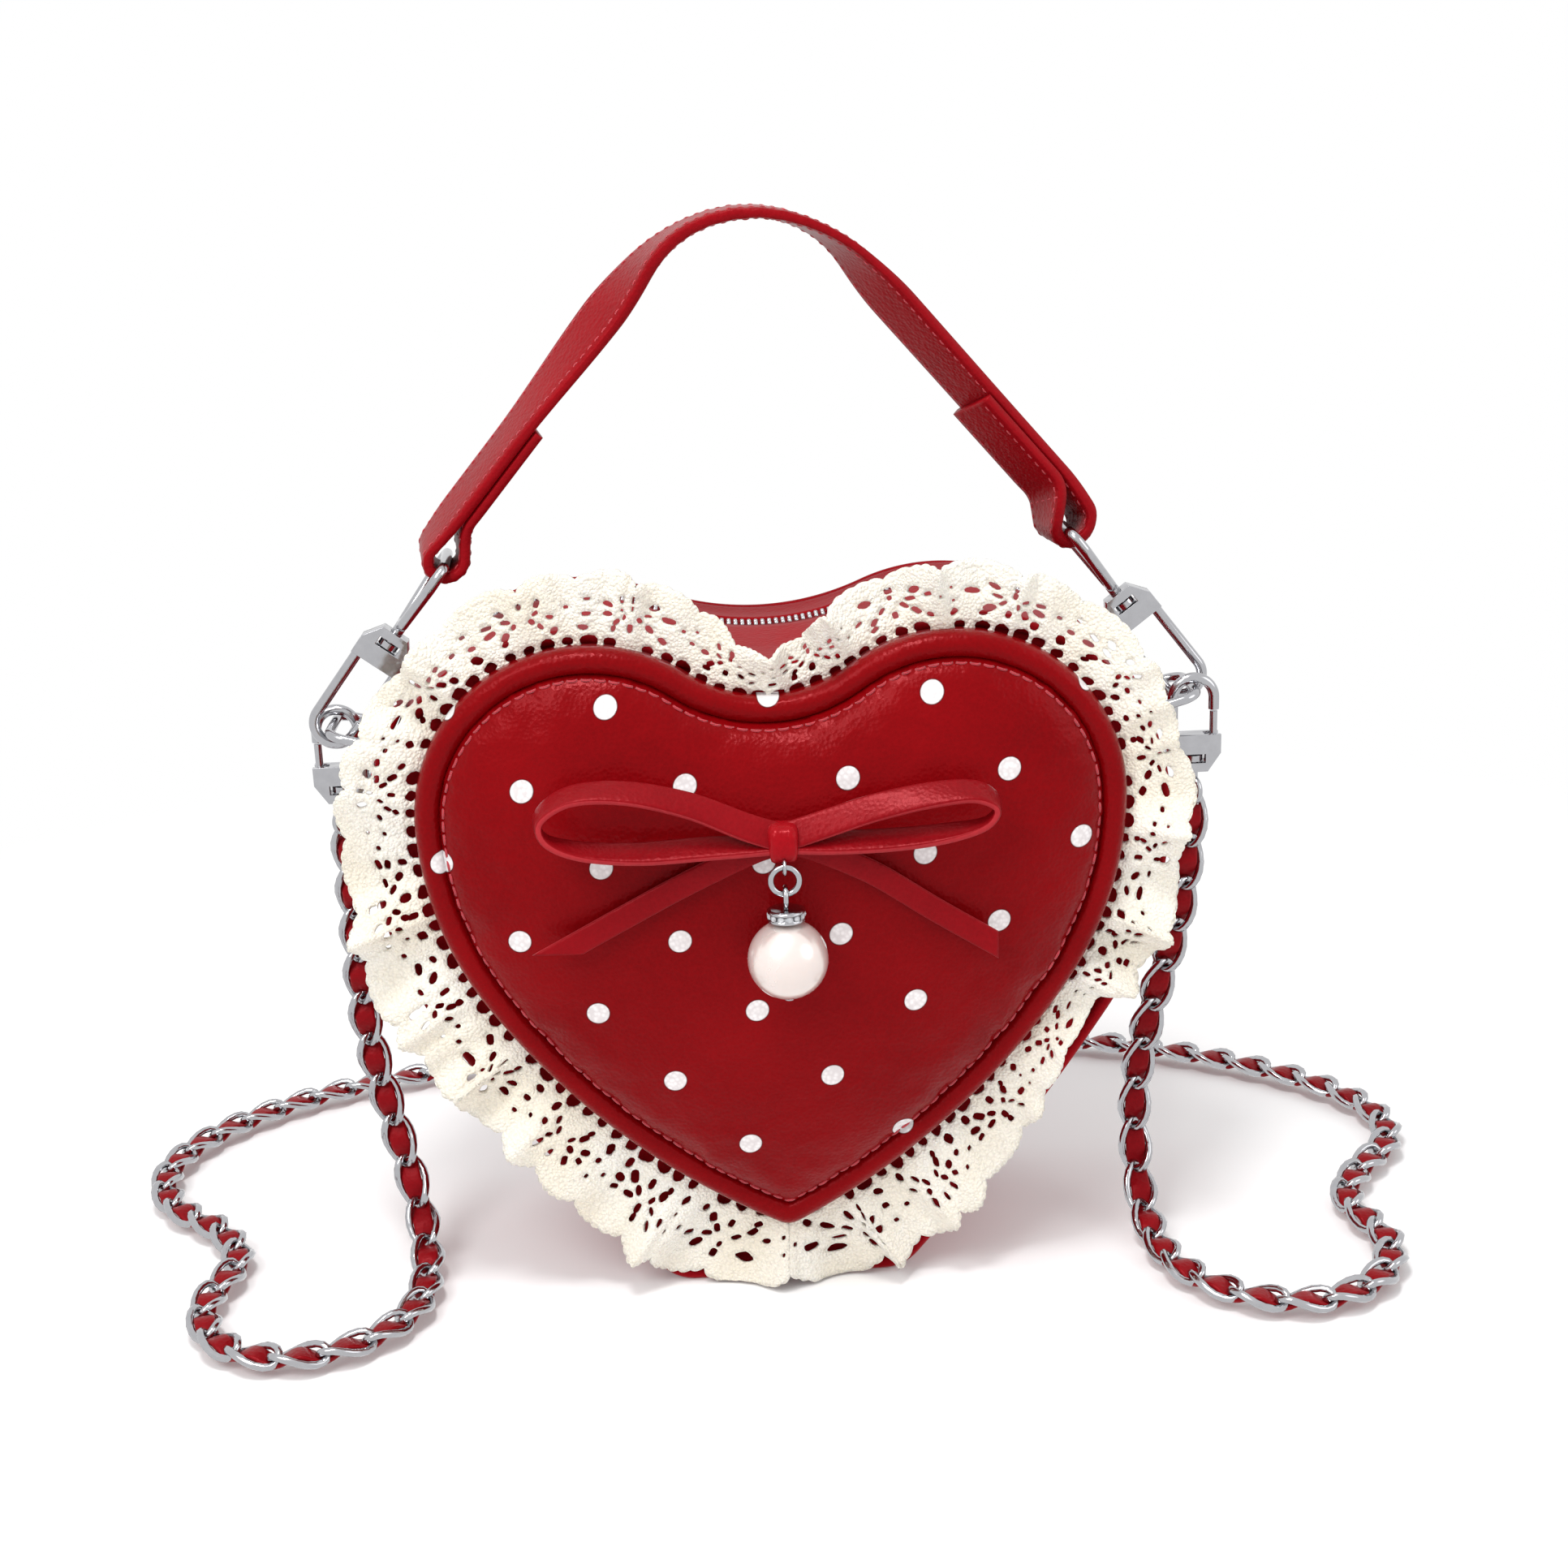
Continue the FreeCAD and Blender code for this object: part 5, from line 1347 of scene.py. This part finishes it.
def panel(name, ring, y_in, y_out, puff, look, step=4.0):
    """A panel inside a closed line: a face that stands out by puff in the middle, and a flat inside."""
    way = math.copysign(1.0, y_out - y_in)

    def face_y(spots, high):
        uneven = [noise.noise((x * 0.03, 3.0, z * 0.03)) for x, z in spots]
        return y_out + way * puff * high + 0.5 * puff * high * np.array(uneven)

    return swollen(name, ring, step, 0.7, face_y, y_in, look)[0]


def on_flap(piece, slot, *nodes):
    """The piece's placement is baked into its mesh, and the CAD nodes that it stands for are hidden."""
    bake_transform(piece)
    if nodes:
        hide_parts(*nodes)
    return piece


class PURSE_OT_body(bpy.types.Operator):
    """Heart shaped bag: panels, gusset, piped edges, lining and ring tabs"""

    bl_idname = "purse.body"
    bl_label = "Body"

    def execute(self, context):
        s = sizes()
        skin, cloth = "panel leather", "lining cloth"
        split = share_at(SPLIT_Z)
        whole = np.arange(360) / 360
        low = np.linspace(split, 1 - split, 260)
        top = np.linspace(-split, split, 180)
        # Each wall's name, node, front and back, way round, sag, points across, sway and what places it
        for name, node, front, back, shares, sag, count, sway, join in (
            ("gusset_skin", "gusset", GUSSET_FRONT, GUSSET_BACK, low, 1.1, 16, 0.5, on_bag),
            ("mouth_front", "zip_facing_front", GUSSET_FRONT, ZIP_Y - TAPE, top, 0.6, 16, 0.4, on_bag),
            ("mouth_rear", "zip_facing_rear", ZIP_Y + TAPE, GUSSET_BACK, top, 0.3, 10, 0.3, on_flap),
        ):
            section = wall_section(front, back, sag, count)
            join(around(name, section, shares, skin, sway=sway), "red_leather", node)

        bead = BEAD / 2
        piping = [(bead * (PIPING * math.cos(t) - 1), bead * PIPING * math.sin(t))
                  for t in np.linspace(0, 2 * math.pi, 13)[:-1]]
        section = [(off, FRONT_Y + bead + y) for off, y in piping]
        on_bag(around("piping_front", section, whole, skin, True), "red_leather", "front_bead")
        section = [(off, BACK_Y - bead + y) for off, y in piping]
        edge = around("piping_back", section, whole, skin, True)
        on_flap(edge, "red_leather", "back_bead_lower", "back_bead_top")

        ring = BODY.walk(-BEAD + 0.5, np.arange(220) / 220)[0]
        face = panel("back_skin", ring, GUSSET_BACK + 0.1, GUSSET_BACK + 1.4, 2.2, skin)
        on_flap(face, "red_leather", "back_panel_lower", "back_panel_top")
        face = panel("front_skin", ring, GUSSET_FRONT - 0.1, GUSSET_FRONT - 1.6, 0.5, skin)
        on_bag(face, "red_leather", "front_panel")

        room = BODY.walk(-WALL - 0.5, np.arange(200) / 200)[0]
        face = panel("lining_front_cloth", room, GUSSET_FRONT + 0.1, GUSSET_FRONT + 0.7, 0.4, cloth, 6.0)
        on_bag(face, "lining_cloth", "lining_front")
        # The rear lining ends at the flap, with a straight upper edge
        under = room[room[:, 1] < SPLIT_Z - 0.5]
        start = int(np.argmax(np.linalg.norm(np.roll(under, -1, 0) - under, axis=1))) + 1
        under = np.roll(under, -start, 0)
        shut = np.linspace(under[-1], under[0], 40)[1:-1]
        ring = np.vstack([under, shut])
        face = panel("lining_back_cloth", ring, GUSSET_BACK - 0.1, GUSSET_BACK - 0.7, 0.4, cloth, 6.0)
        on_bag(face, "lining_cloth", "lining_back")
        dress("base_board", "fibre board")

        for side, sign in (("left", -1), ("right", 1)):
            self.tab(side, sign, s)
        return {"FINISHED"}

    def tab(self, side, sign, s):
        """The leather tab that holds a D-ring: a strip along the lobe, rolled around the ring's bar."""
        low, high = box("d_ring_tab_" + side)
        centre = np.array([sign * BODY.lobe[0], RING_Y, BODY.lobe[1]])

        def spot(r, a):
            t = math.radians(a)
            return centre + np.array([sign * r * math.cos(t), 0.0, r * math.sin(t)])

        angles = np.linspace(TAB_FROM, TAB_TO, 40)
        roll = TAB_ROLL_HIGH * np.exp(-((angles - TAB_ROLL) / TAB_ROLL_WIDE) ** 2)
        line = np.array([spot(BODY.lobe_r + TAB_LIFT + k, a) for a, k in zip(angles, roll)])
        out = np.array([unit(p - centre) for p in line])
        wide = high[1] - low[1]
        rolled = sweep(line, out, oval(wide, TAB_THICK, 20, 0.4))
        tab = closed_mesh("ring_tab_" + side, *rolled, "panel leather")
        on_bag(tab, "red_leather", "d_ring_tab_" + side)
        rows = []
        for first, last in TAB_SEAMS:
            for edge in (-1, 1):
                across = np.array([0, edge * (wide / 2 - TAB_STITCH_IN), 0])
                bits = np.array([spot(BODY.lobe_r + TAB_LIFT + TAB_THICK / 2, a) + across
                                 for a in np.linspace(first, last, 24)])
                rows.append((bits, np.array([unit(p - centre) for p in bits]), False))
        sewn = repeat("tab_stitches_" + side, rows, stitch(TAB_STITCH, s.thread / MM), TAB_STITCH_PITCH,
                      "thread", 0.1)
        on_bag(sewn, "red_leather")
        rivet = box("tab_rivet_" + side)
        middle = (rivet[0] + rivet[1]) / 2
        axis = unit((middle - centre) * np.array([1, 0, 1]))
        r = (rivet[1][1] - rivet[0][1]) / 2
        dome = [(0.05, 0.75), (r * 0.45, 0.66), (r * 0.8, 0.4), (r, 0.0), (r, -0.3), (r * 0.9, -0.45)]
        head = closed_mesh("rivet_" + side, *lathe(dome, middle + axis * 0.3, 28, axis), "metal")
        on_bag(head, "bright_metal", "tab_rivet_" + side)


def dress(node, name):
    """Give a CAD node one of the purse's finishes."""
    mesh = frame["nodes"][node].data
    mesh.materials.clear()
    mesh.materials.append(finish(name))


def polish(node, body, slot, name, ease=0.3):
    """A metal CAD node with its sharp edges eased, in one of the purse's finishes."""
    piece = new_object(node + "_polished", frame["nodes"][node].data.copy())
    piece.data.materials.clear()
    piece.data.materials.append(finish(name))
    bm = bmesh.new()
    bm.from_mesh(piece.data)
    bmesh.ops.remove_doubles(bm, verts=bm.verts, dist=0.002 * MM)
    bmesh.ops.dissolve_limit(bm, angle_limit=math.radians(1.0), verts=bm.verts, edges=bm.edges)
    bm.to_mesh(piece.data)
    bm.free()
    modify(piece, "BEVEL", width=ease * MM, segments=3, limit_method="ANGLE",
           angle_limit=math.radians(38.0))
    piece.data.shade_smooth()
    piece.data.set_sharp_from_angle(angle=math.radians(50.0))
    return belongs(piece, body, slot, node)


# The zip

TOOTH_HALF = np.array([0.5, 0.8, 0.6])
TAPE_HALF = 0.6
# How far the tapes' edges and the teeth stand from the zip's middle, to let the slider's web through
TAPE_GAP, ROW_GAP = 0.52, 1.34


def zip_tooth():
    """A small rounded block, along the tape in x and out of it in z, open below."""
    ring = [(1, 0.75), (0.75, 1), (-0.75, 1), (-1, 0.75), (-1, -0.75), (-0.75, -1), (0.75, -1), (1, -0.75)]
    levels = ((-1, 1.0), (0.6, 1.0), (1.0, 0.7))
    points = [np.array([x * k, y * k, z]) * TOOTH_HALF for z, k in levels for x, y in ring]
    return add_mesh("tooth", points, ring_faces(3, 8) + [tuple(range(16, 24))])


class PURSE_OT_zip(bpy.types.Operator):
    """Zip over the top: two tapes, their metal teeth, slider and pull"""

    bl_idname = "purse.zip_closure"
    bl_label = "Zip"

    def execute(self, context):
        s = sizes()
        split = share_at(SPLIT_Z)
        top = np.linspace(-split, split, 180)
        tape_in, tape_out = -WALL / 2 - TAPE_HALF, -WALL / 2 + TAPE_HALF
        for name, side, join in (("front", -1, on_bag), ("rear", 1, on_flap)):
            a, b = sorted((ZIP_Y + side * TAPE_GAP, ZIP_Y + side * (TAPE + 0.6)))
            section = [(tape_in, a), (tape_out - 0.2, a), (tape_out, a + 0.3), (tape_out, b), (tape_in, b)]
            tape = around("zip_tape_" + name, section, top, "zip tape")
            spots, out = BODY.walk(tape_out + 0.1, np.linspace(-split + 0.004, split - 0.004, 500))
            line = np.insert(spots, 1, ZIP_Y + side * ROW_GAP, axis=1)
            teeth = repeat("zip_row_" + name, [(line, np.insert(out, 1, 0, axis=1), False)], zip_tooth(),
                           s.tooth_pitch / MM, "zip metal")
            join(tape, "lining_cloth", "zip_teeth_" + name)
            join(teeth, "zip_metal")
        polish("zip_slider", "slider", "zip_metal", "zip metal")
        polish("zip_pull", "pull", "zip_metal", "zip metal")
        return {"FINISHED"}


# The handle, in its own upright plane: u along it and v up

HANDLE_YAW = math.radians(3.0)
HANDLE_U = np.array([math.cos(HANDLE_YAW), math.sin(HANDLE_YAW), 0.0])
HANDLE_W = np.array([math.sin(HANDLE_YAW), -math.cos(HANDLE_YAW), 0.0])
BAR_U, BAR_Z = 79.3, 192.5
HANDLE_TOP, HANDLE_ROUND = 275.0, 35.0
STRAP_WIDE, STRAP_THICK = 16.0, 3.0
# The fold around a loop's bar, the leg's rise above it, and the turned back end's length and step
FOLD_R, LEG_RISE, FLAP_LONG, FLAP_STEP = 4.6, 2.0, 30.0, 2.9
TURN_BACK_R, KNEE_R = 8.0, 4.0
FOLD_Z = BAR_Z + 1.5 - FOLD_R
LEG_U, KNEE_Z = BAR_U + FOLD_R, FOLD_Z + FOLD_R + LEG_RISE
# Degrees that a leg is turned near its loop and higher up, by side: the left is turned less near its loop
STRAP_TWIST = {-1.0: (17.0, 31.0), 1.0: (30.0, 31.0)}
# Between which heights the turn goes from the one to the other, sets in, and is lost at the top
TWIST_GROWS = (222.0, 254.0)
TWIST_STARTS = (BAR_Z - 8, BAR_Z + 14)
TWIST_ENDS = (HANDLE_TOP - 24, HANDLE_TOP + 2)
# Stitches: in from the strap's edges and ends, sunk into its face, and smaller than the heart's
STITCH_IN, STITCH_END, STITCH_SUNK, STITCH_SHARE = 1.7, 2.0, 0.2, 0.8


def rounded(corners, radii):
    """A line through corners, with an arc of its own radius at each inner one."""
    corners = np.asarray(corners, float)
    line = [corners[0]]
    for before, here, after, r in zip(corners, corners[1:], corners[2:], radii):
        a, b = unit(before - here), unit(after - here)
        half = math.acos(max(-1.0, min(1.0, float(a @ b)))) / 2
        centre = here + unit(a + b) * r / math.sin(half)
        first, last = here + a * r / math.tan(half), here + b * r / math.tan(half)
        for t in np.linspace(0, 1, 14):
            line.append(centre + r * unit((1 - t) * (first - centre) + t * (last - centre)))
    line.append(corners[-1])
    return np.array(line)


def strap_way():
    """The strap's middle line: flap, fold, leg, round top, leg, fold, flap; and the legs' lean."""
    rise = HANDLE_TOP - HANDLE_ROUND - KNEE_Z
    lean = math.atan2(LEG_U, rise) - math.asin(HANDLE_ROUND / math.hypot(LEG_U, rise))
    way = np.array([-math.sin(lean), math.cos(lean)])
    peak = KNEE_Z + LEG_U / math.tan(lean)
    flap = np.array([LEG_U, KNEE_Z]) + np.array([-way[1], way[0]]) * FLAP_STEP
    inner = BAR_U - FOLD_R
    flap = flap + way * (flap[0] - inner) / math.sin(lean)
    leg = [flap + way * FLAP_LONG, flap, (inner, FOLD_Z), (LEG_U, FOLD_Z), (LEG_U, KNEE_Z)]
    bends = [TURN_BACK_R, FOLD_R, FOLD_R, KNEE_R]
    mirrored = [(-u, v) for u, v in leg[::-1]]
    return rounded([*leg, (0, peak), *mirrored], [*bends, HANDLE_ROUND, *bends[::-1]]), lean


def soft_step(value, low, high):
    """0 below a range, 1 above it and an even curve between."""
    t = np.clip((value - low) / (high - low), 0, 1)
    return t * t * (3 - 2 * t)


def strap_place(u, v, w, lean):
    """A point of the strap in space: its legs are turned about themselves, its ends and top are not."""
    side = 1.0 if u > 0 else -1.0
    low, high = np.radians(STRAP_TWIST[side])
    turn = low + (high - low) * soft_step(v, *TWIST_GROWS)
    turn *= soft_step(v, *TWIST_STARTS) * (1 - soft_step(v, *TWIST_ENDS))
    way = np.array([-side * math.sin(lean), math.cos(lean)])
    out = np.array([side * math.cos(lean), math.sin(lean)])
    start = np.array([side * LEG_U, KNEE_Z])
    gap = np.array([u, v]) - start
    along, off = float(gap @ way), float(gap @ out)
    flat = start + way * along
    to_out = np.array([*(HANDLE_U * out[0])[:2], out[1]])
    turned_out = math.cos(turn) * to_out - side * math.sin(turn) * HANDLE_W
    turned_across = math.cos(turn) * HANDLE_W + side * math.sin(turn) * to_out
    base = HANDLE_U * flat[0] + np.array([0, RING_Y, flat[1]])
    return base + turned_out * off + turned_across * w


class PURSE_OT_handle(bpy.types.Operator):
    """Leather handle folded around its two loops, with stitched edges"""

    bl_idname = "purse.handle"
    bl_label = "Handle"

    def execute(self, context):
        s = sizes()
        line, lean = strap_way()
        line = spaced(line, 460)
        ahead = unit(np.gradient(line, axis=0))
        normal = np.stack([ahead[:, 1], -ahead[:, 0]], 1)
        section = oval(STRAP_WIDE, STRAP_THICK, 24, 0.35)
        points = [strap_place(*(p + n * b), a, lean) for p, n in zip(line, normal) for a, b in section]
        faces = tube_faces(len(line), len(section))
        strap = closed_mesh("handle_leather", points, faces, "red leather")
        belongs(strap, "handle", "red_leather", "handle_strap")

        def sewn_at(k, face):
            """Where the thread lies on one face of the strap, and a step further out."""
            lifted = line[k] + normal[k] * face * (STRAP_THICK / 2 - STITCH_SUNK)
            return lifted, lifted + normal[k] * face

        far = run_lengths(line)
        keep = np.flatnonzero((far >= STITCH_END) & (far <= far[-1] - STITCH_END))
        inset = STRAP_WIDE / 2 - STITCH_IN
        rows = []
        for face in (1, -1):
            for edge in (inset, -inset):
                spots = np.array([[strap_place(*p, edge, lean) for p in sewn_at(k, face)] for k in keep])
                rows.append((spots[:, 0], unit(spots[:, 1] - spots[:, 0]), False))
        turn_back = FLAP_LONG + STITCH_END
        for first in (turn_back, far[-1] - turn_back):
            k = int(np.argmin(np.abs(far - first)))
            for face in (1, -1):
                low, high = sewn_at(k, face)
                bits = np.array([strap_place(*low, a, lean) for a in np.linspace(-inset, inset, 20)])
                up = strap_place(*high, 0.0, lean) - strap_place(*low, 0.0, lean)
                rows.append((bits, unit(up), False))
        sewn = repeat("handle_stitches", rows,
                      stitch(STITCH_SHARE * s.stitch_length / MM, 0.7 * s.thread / MM),
                      STITCH_SHARE * s.stitch_pitch / MM, "thread", 0.1)
        belongs(sewn, "handle", "red_leather")
        return {"FINISHED"}


class PURSE_OT_fittings(bpy.types.Operator):
    """Rings, snap hooks, gates and loops in polished metal"""

    bl_idname = "purse.fittings"
    bl_label = "Metal fittings"

    def execute(self, context):
        polish("jump_ring", "jump_ring", "bright_metal", "metal")
        polish("eye_pin", "pendant", "bright_metal", "metal")
        for side in ("left", "right"):
            for part, body in (("d_ring_", "bag"), ("handle_loop_", "handle"), ("chain_eye_", "bag")):
                polish(part + side, body, "bright_metal", "metal")
            for part in ("handle_hook_", "handle_gate_", "chain_hook_", "chain_gate_"):
                polish(part + side, part + side, "bright_metal", "metal", 0.9)
        return {"FINISHED"}


# Camera, light and floor


class PurseStage(bpy.types.PropertyGroup):
    """Where the camera stands, and the light."""

    target: FloatVectorProperty(name="Target", description="Point that the camera looks at",
                                default=(0.003, -0.042, 0.1395), subtype="TRANSLATION")
    distance: size("Distance", "From the target to the camera", 0.56)
    azimuth: angle("Azimuth", "Camera's turn around the purse from its front", -2.0)
    elevation: angle("Elevation", "Camera's height as an angle", 16.9)
    roll: angle("Roll", "Camera's tilt", 2.2)
    lens: FloatProperty(name="Lens", description="Focal length on a 36 mm sensor", default=52.17,
                        unit="CAMERA")
    sky: FloatProperty(name="Room light", description="Strength of the even light from all sides",
                       default=0.5, min=0.0)
    key: watts("Key light", "Power of the large lamp at the upper left", 5.5)
    top: watts("Top light", "Power of the small lamp above the purse", 4.0)
    side: watts("Side light", "Power of the lamp at the right", 1.6)


def add_camera(s):
    """The camera on its arm around the target, rolled by its tilt."""
    cam = bpy.data.cameras.new("camera")
    cam.lens, cam.sensor_width = s.lens, 36.0
    cam.clip_start, cam.clip_end = 0.01, 20.0
    level = math.cos(s.elevation)
    back = Vector((math.sin(s.azimuth) * level, -math.cos(s.azimuth) * level, math.sin(s.elevation)))
    right = Vector((0, 0, 1)).cross(back).normalized()
    up = back.cross(right)
    side = right * math.cos(s.roll) - up * math.sin(s.roll)
    top = up * math.cos(s.roll) + right * math.sin(s.roll)
    holder = new_object("camera", cam)
    holder.matrix_world = Matrix((side, top, back)).transposed().to_4x4()
    holder.location = Vector(s.target) + back * s.distance
    bpy.context.scene.camera = holder
    return holder


def add_lamp(name, place, target, power, across):
    """A round lamp that looks at a target."""
    lamp = bpy.data.lights.new(name, "AREA")
    lamp.shape, lamp.size, lamp.energy = "DISK", across, power
    holder = new_object(name, lamp)
    holder.location = place
    holder.rotation_euler = (Vector(target) - Vector(place)).to_track_quat("-Z", "Y").to_euler()
    return holder


def seen_white(f, shaded, share):
    """Pure white where share is 1 for what the camera sees, the shaded surface for the rest."""
    rays = f.add("ShaderNodeLightPath").outputs
    mirrored = f.math("MAXIMUM", rays["Is Glossy Ray"], rays["Is Transmission Ray"])
    seen = f.math("MAXIMUM", f.math("MULTIPLY", rays["Is Camera Ray"], share), mirrored)
    white = f.add("ShaderNodeEmission", Color=(1, 1, 1, 1), Strength=1.0).outputs[0]
    both = f.add("ShaderNodeMixShader", i0=seen, i1=shaded, i2=white).outputs[0]
    f.tree.links.new(both, f.tree.nodes["Material Output"].inputs["Surface"])


def add_floor():
    """A white floor that keeps the purse's shadow and fades to plain white further out."""
    f = Finish("floor", (0.93, 0.93, 0.93), 0.75, Specular_IOR_Level=0.12,
               Emission_Color=(1, 1, 1, 1), Emission_Strength=0.05)
    far = f.add("ShaderNodeVectorMath", operation="LENGTH", i0=f.place).outputs["Value"]
    seen_white(f, f.shader.outputs[0], f.span(far, 0.26, 0.5, 0.0, 1.0))
    edge = 3000.0
    corners = [(-edge, -edge, 0), (edge, -edge, 0), (edge, edge, 0), (-edge, edge, 0)]
    return add_mesh("floor", corners, [(0, 1, 2, 3)], f.material)


def light_room(strength):
    """An even light from all sides, behind which the camera and the gloss see plain white."""
    world = bpy.data.worlds.new("room")
    bpy.context.scene.world = world
    world.use_nodes = True
    nodes, links = world.node_tree.nodes, world.node_tree.links
    rays = nodes.new("ShaderNodeLightPath")
    mixed = nodes.new("ShaderNodeMix")
    mixed.data_type = "FLOAT"
    mixed.inputs[2].default_value, mixed.inputs[3].default_value = strength, 1.0
    shown = None
    for ray in ("Is Camera Ray", "Is Glossy Ray", "Is Transmission Ray"):
        most = nodes.new("ShaderNodeMath")
        most.operation = "MAXIMUM"
        links.new(rays.outputs[ray], most.inputs[0])
        if shown:
            links.new(shown, most.inputs[1])
        shown = most.outputs[0]
    links.new(shown, mixed.inputs[0])
    ground = nodes["Background"]
    ground.inputs["Color"].default_value = (1, 1, 1, 1)
    links.new(mixed.outputs[0], ground.inputs["Strength"])


class PURSE_OT_stage(bpy.types.Operator):
    """White floor, soft level light and the camera"""

    bl_idname = "purse.stage"
    bl_label = "Stage"

    def execute(self, context):
        s = context.scene.purse_stage
        light_room(s.sky)
        middle = (0.0, -0.03, 0.1)
        add_camera(s)
        add_floor()
        add_lamp("key_lamp", (-0.55, -0.75, 0.95), middle, s.key, 0.6)
        add_lamp("top_lamp", (-0.1, -0.3, 0.95), middle, s.top, 0.24)
        add_lamp("side_lamp", (0.9, -0.5, 0.6), middle, s.side, 0.7)
        context.scene.view_settings.view_transform = "Standard"
        return {"FINISHED"}


class PURSE_PT_build(bpy.types.Panel):
    """Lists the purse's steps and their sizes and colours"""

    bl_idname = "PURSE_PT_build"
    bl_label = "Heart purse"
    bl_space_type = "VIEW_3D"
    bl_region_type = "UI"
    bl_category = "Purse"

    def draw(self, context):
        for step in STEPS:
            self.layout.operator(step.bl_idname)
        for group in (context.scene.purse_sizes, context.scene.purse_colours, context.scene.purse_stage):
            shelf = self.layout.box()
            for name in group.__annotations__:
                shelf.prop(group, name)


GROUPS = {"purse_sizes": PurseSizes, "purse_colours": PurseColours, "purse_stage": PurseStage}
STEPS = [PURSE_OT_chain_strap, PURSE_OT_body, PURSE_OT_zip, PURSE_OT_padded_heart, PURSE_OT_lace,
         PURSE_OT_bow, PURSE_OT_pendant, PURSE_OT_handle, PURSE_OT_fittings, PURSE_OT_stage]


def register():
    for kind in [*GROUPS.values(), *STEPS, PURSE_PT_build]:
        bpy.utils.register_class(kind)
    for name, kind in GROUPS.items():
        setattr(bpy.types.Scene, name, PointerProperty(type=kind))


def unregister():
    for name in GROUPS:
        delattr(bpy.types.Scene, name)
    for kind in [PURSE_PT_build, *reversed(STEPS), *GROUPS.values()]:
        bpy.utils.unregister_class(kind)


def main():
    register()
    bpy.ops.purse.chain_strap()
    bpy.ops.purse.body()
    bpy.ops.purse.zip_closure()
    bpy.ops.purse.padded_heart()
    bpy.ops.purse.lace()
    bpy.ops.purse.bow()
    bpy.ops.purse.pendant()
    bpy.ops.purse.handle()
    bpy.ops.purse.fittings()
    bpy.ops.purse.stage()


if __name__ == "__main__":
    main()
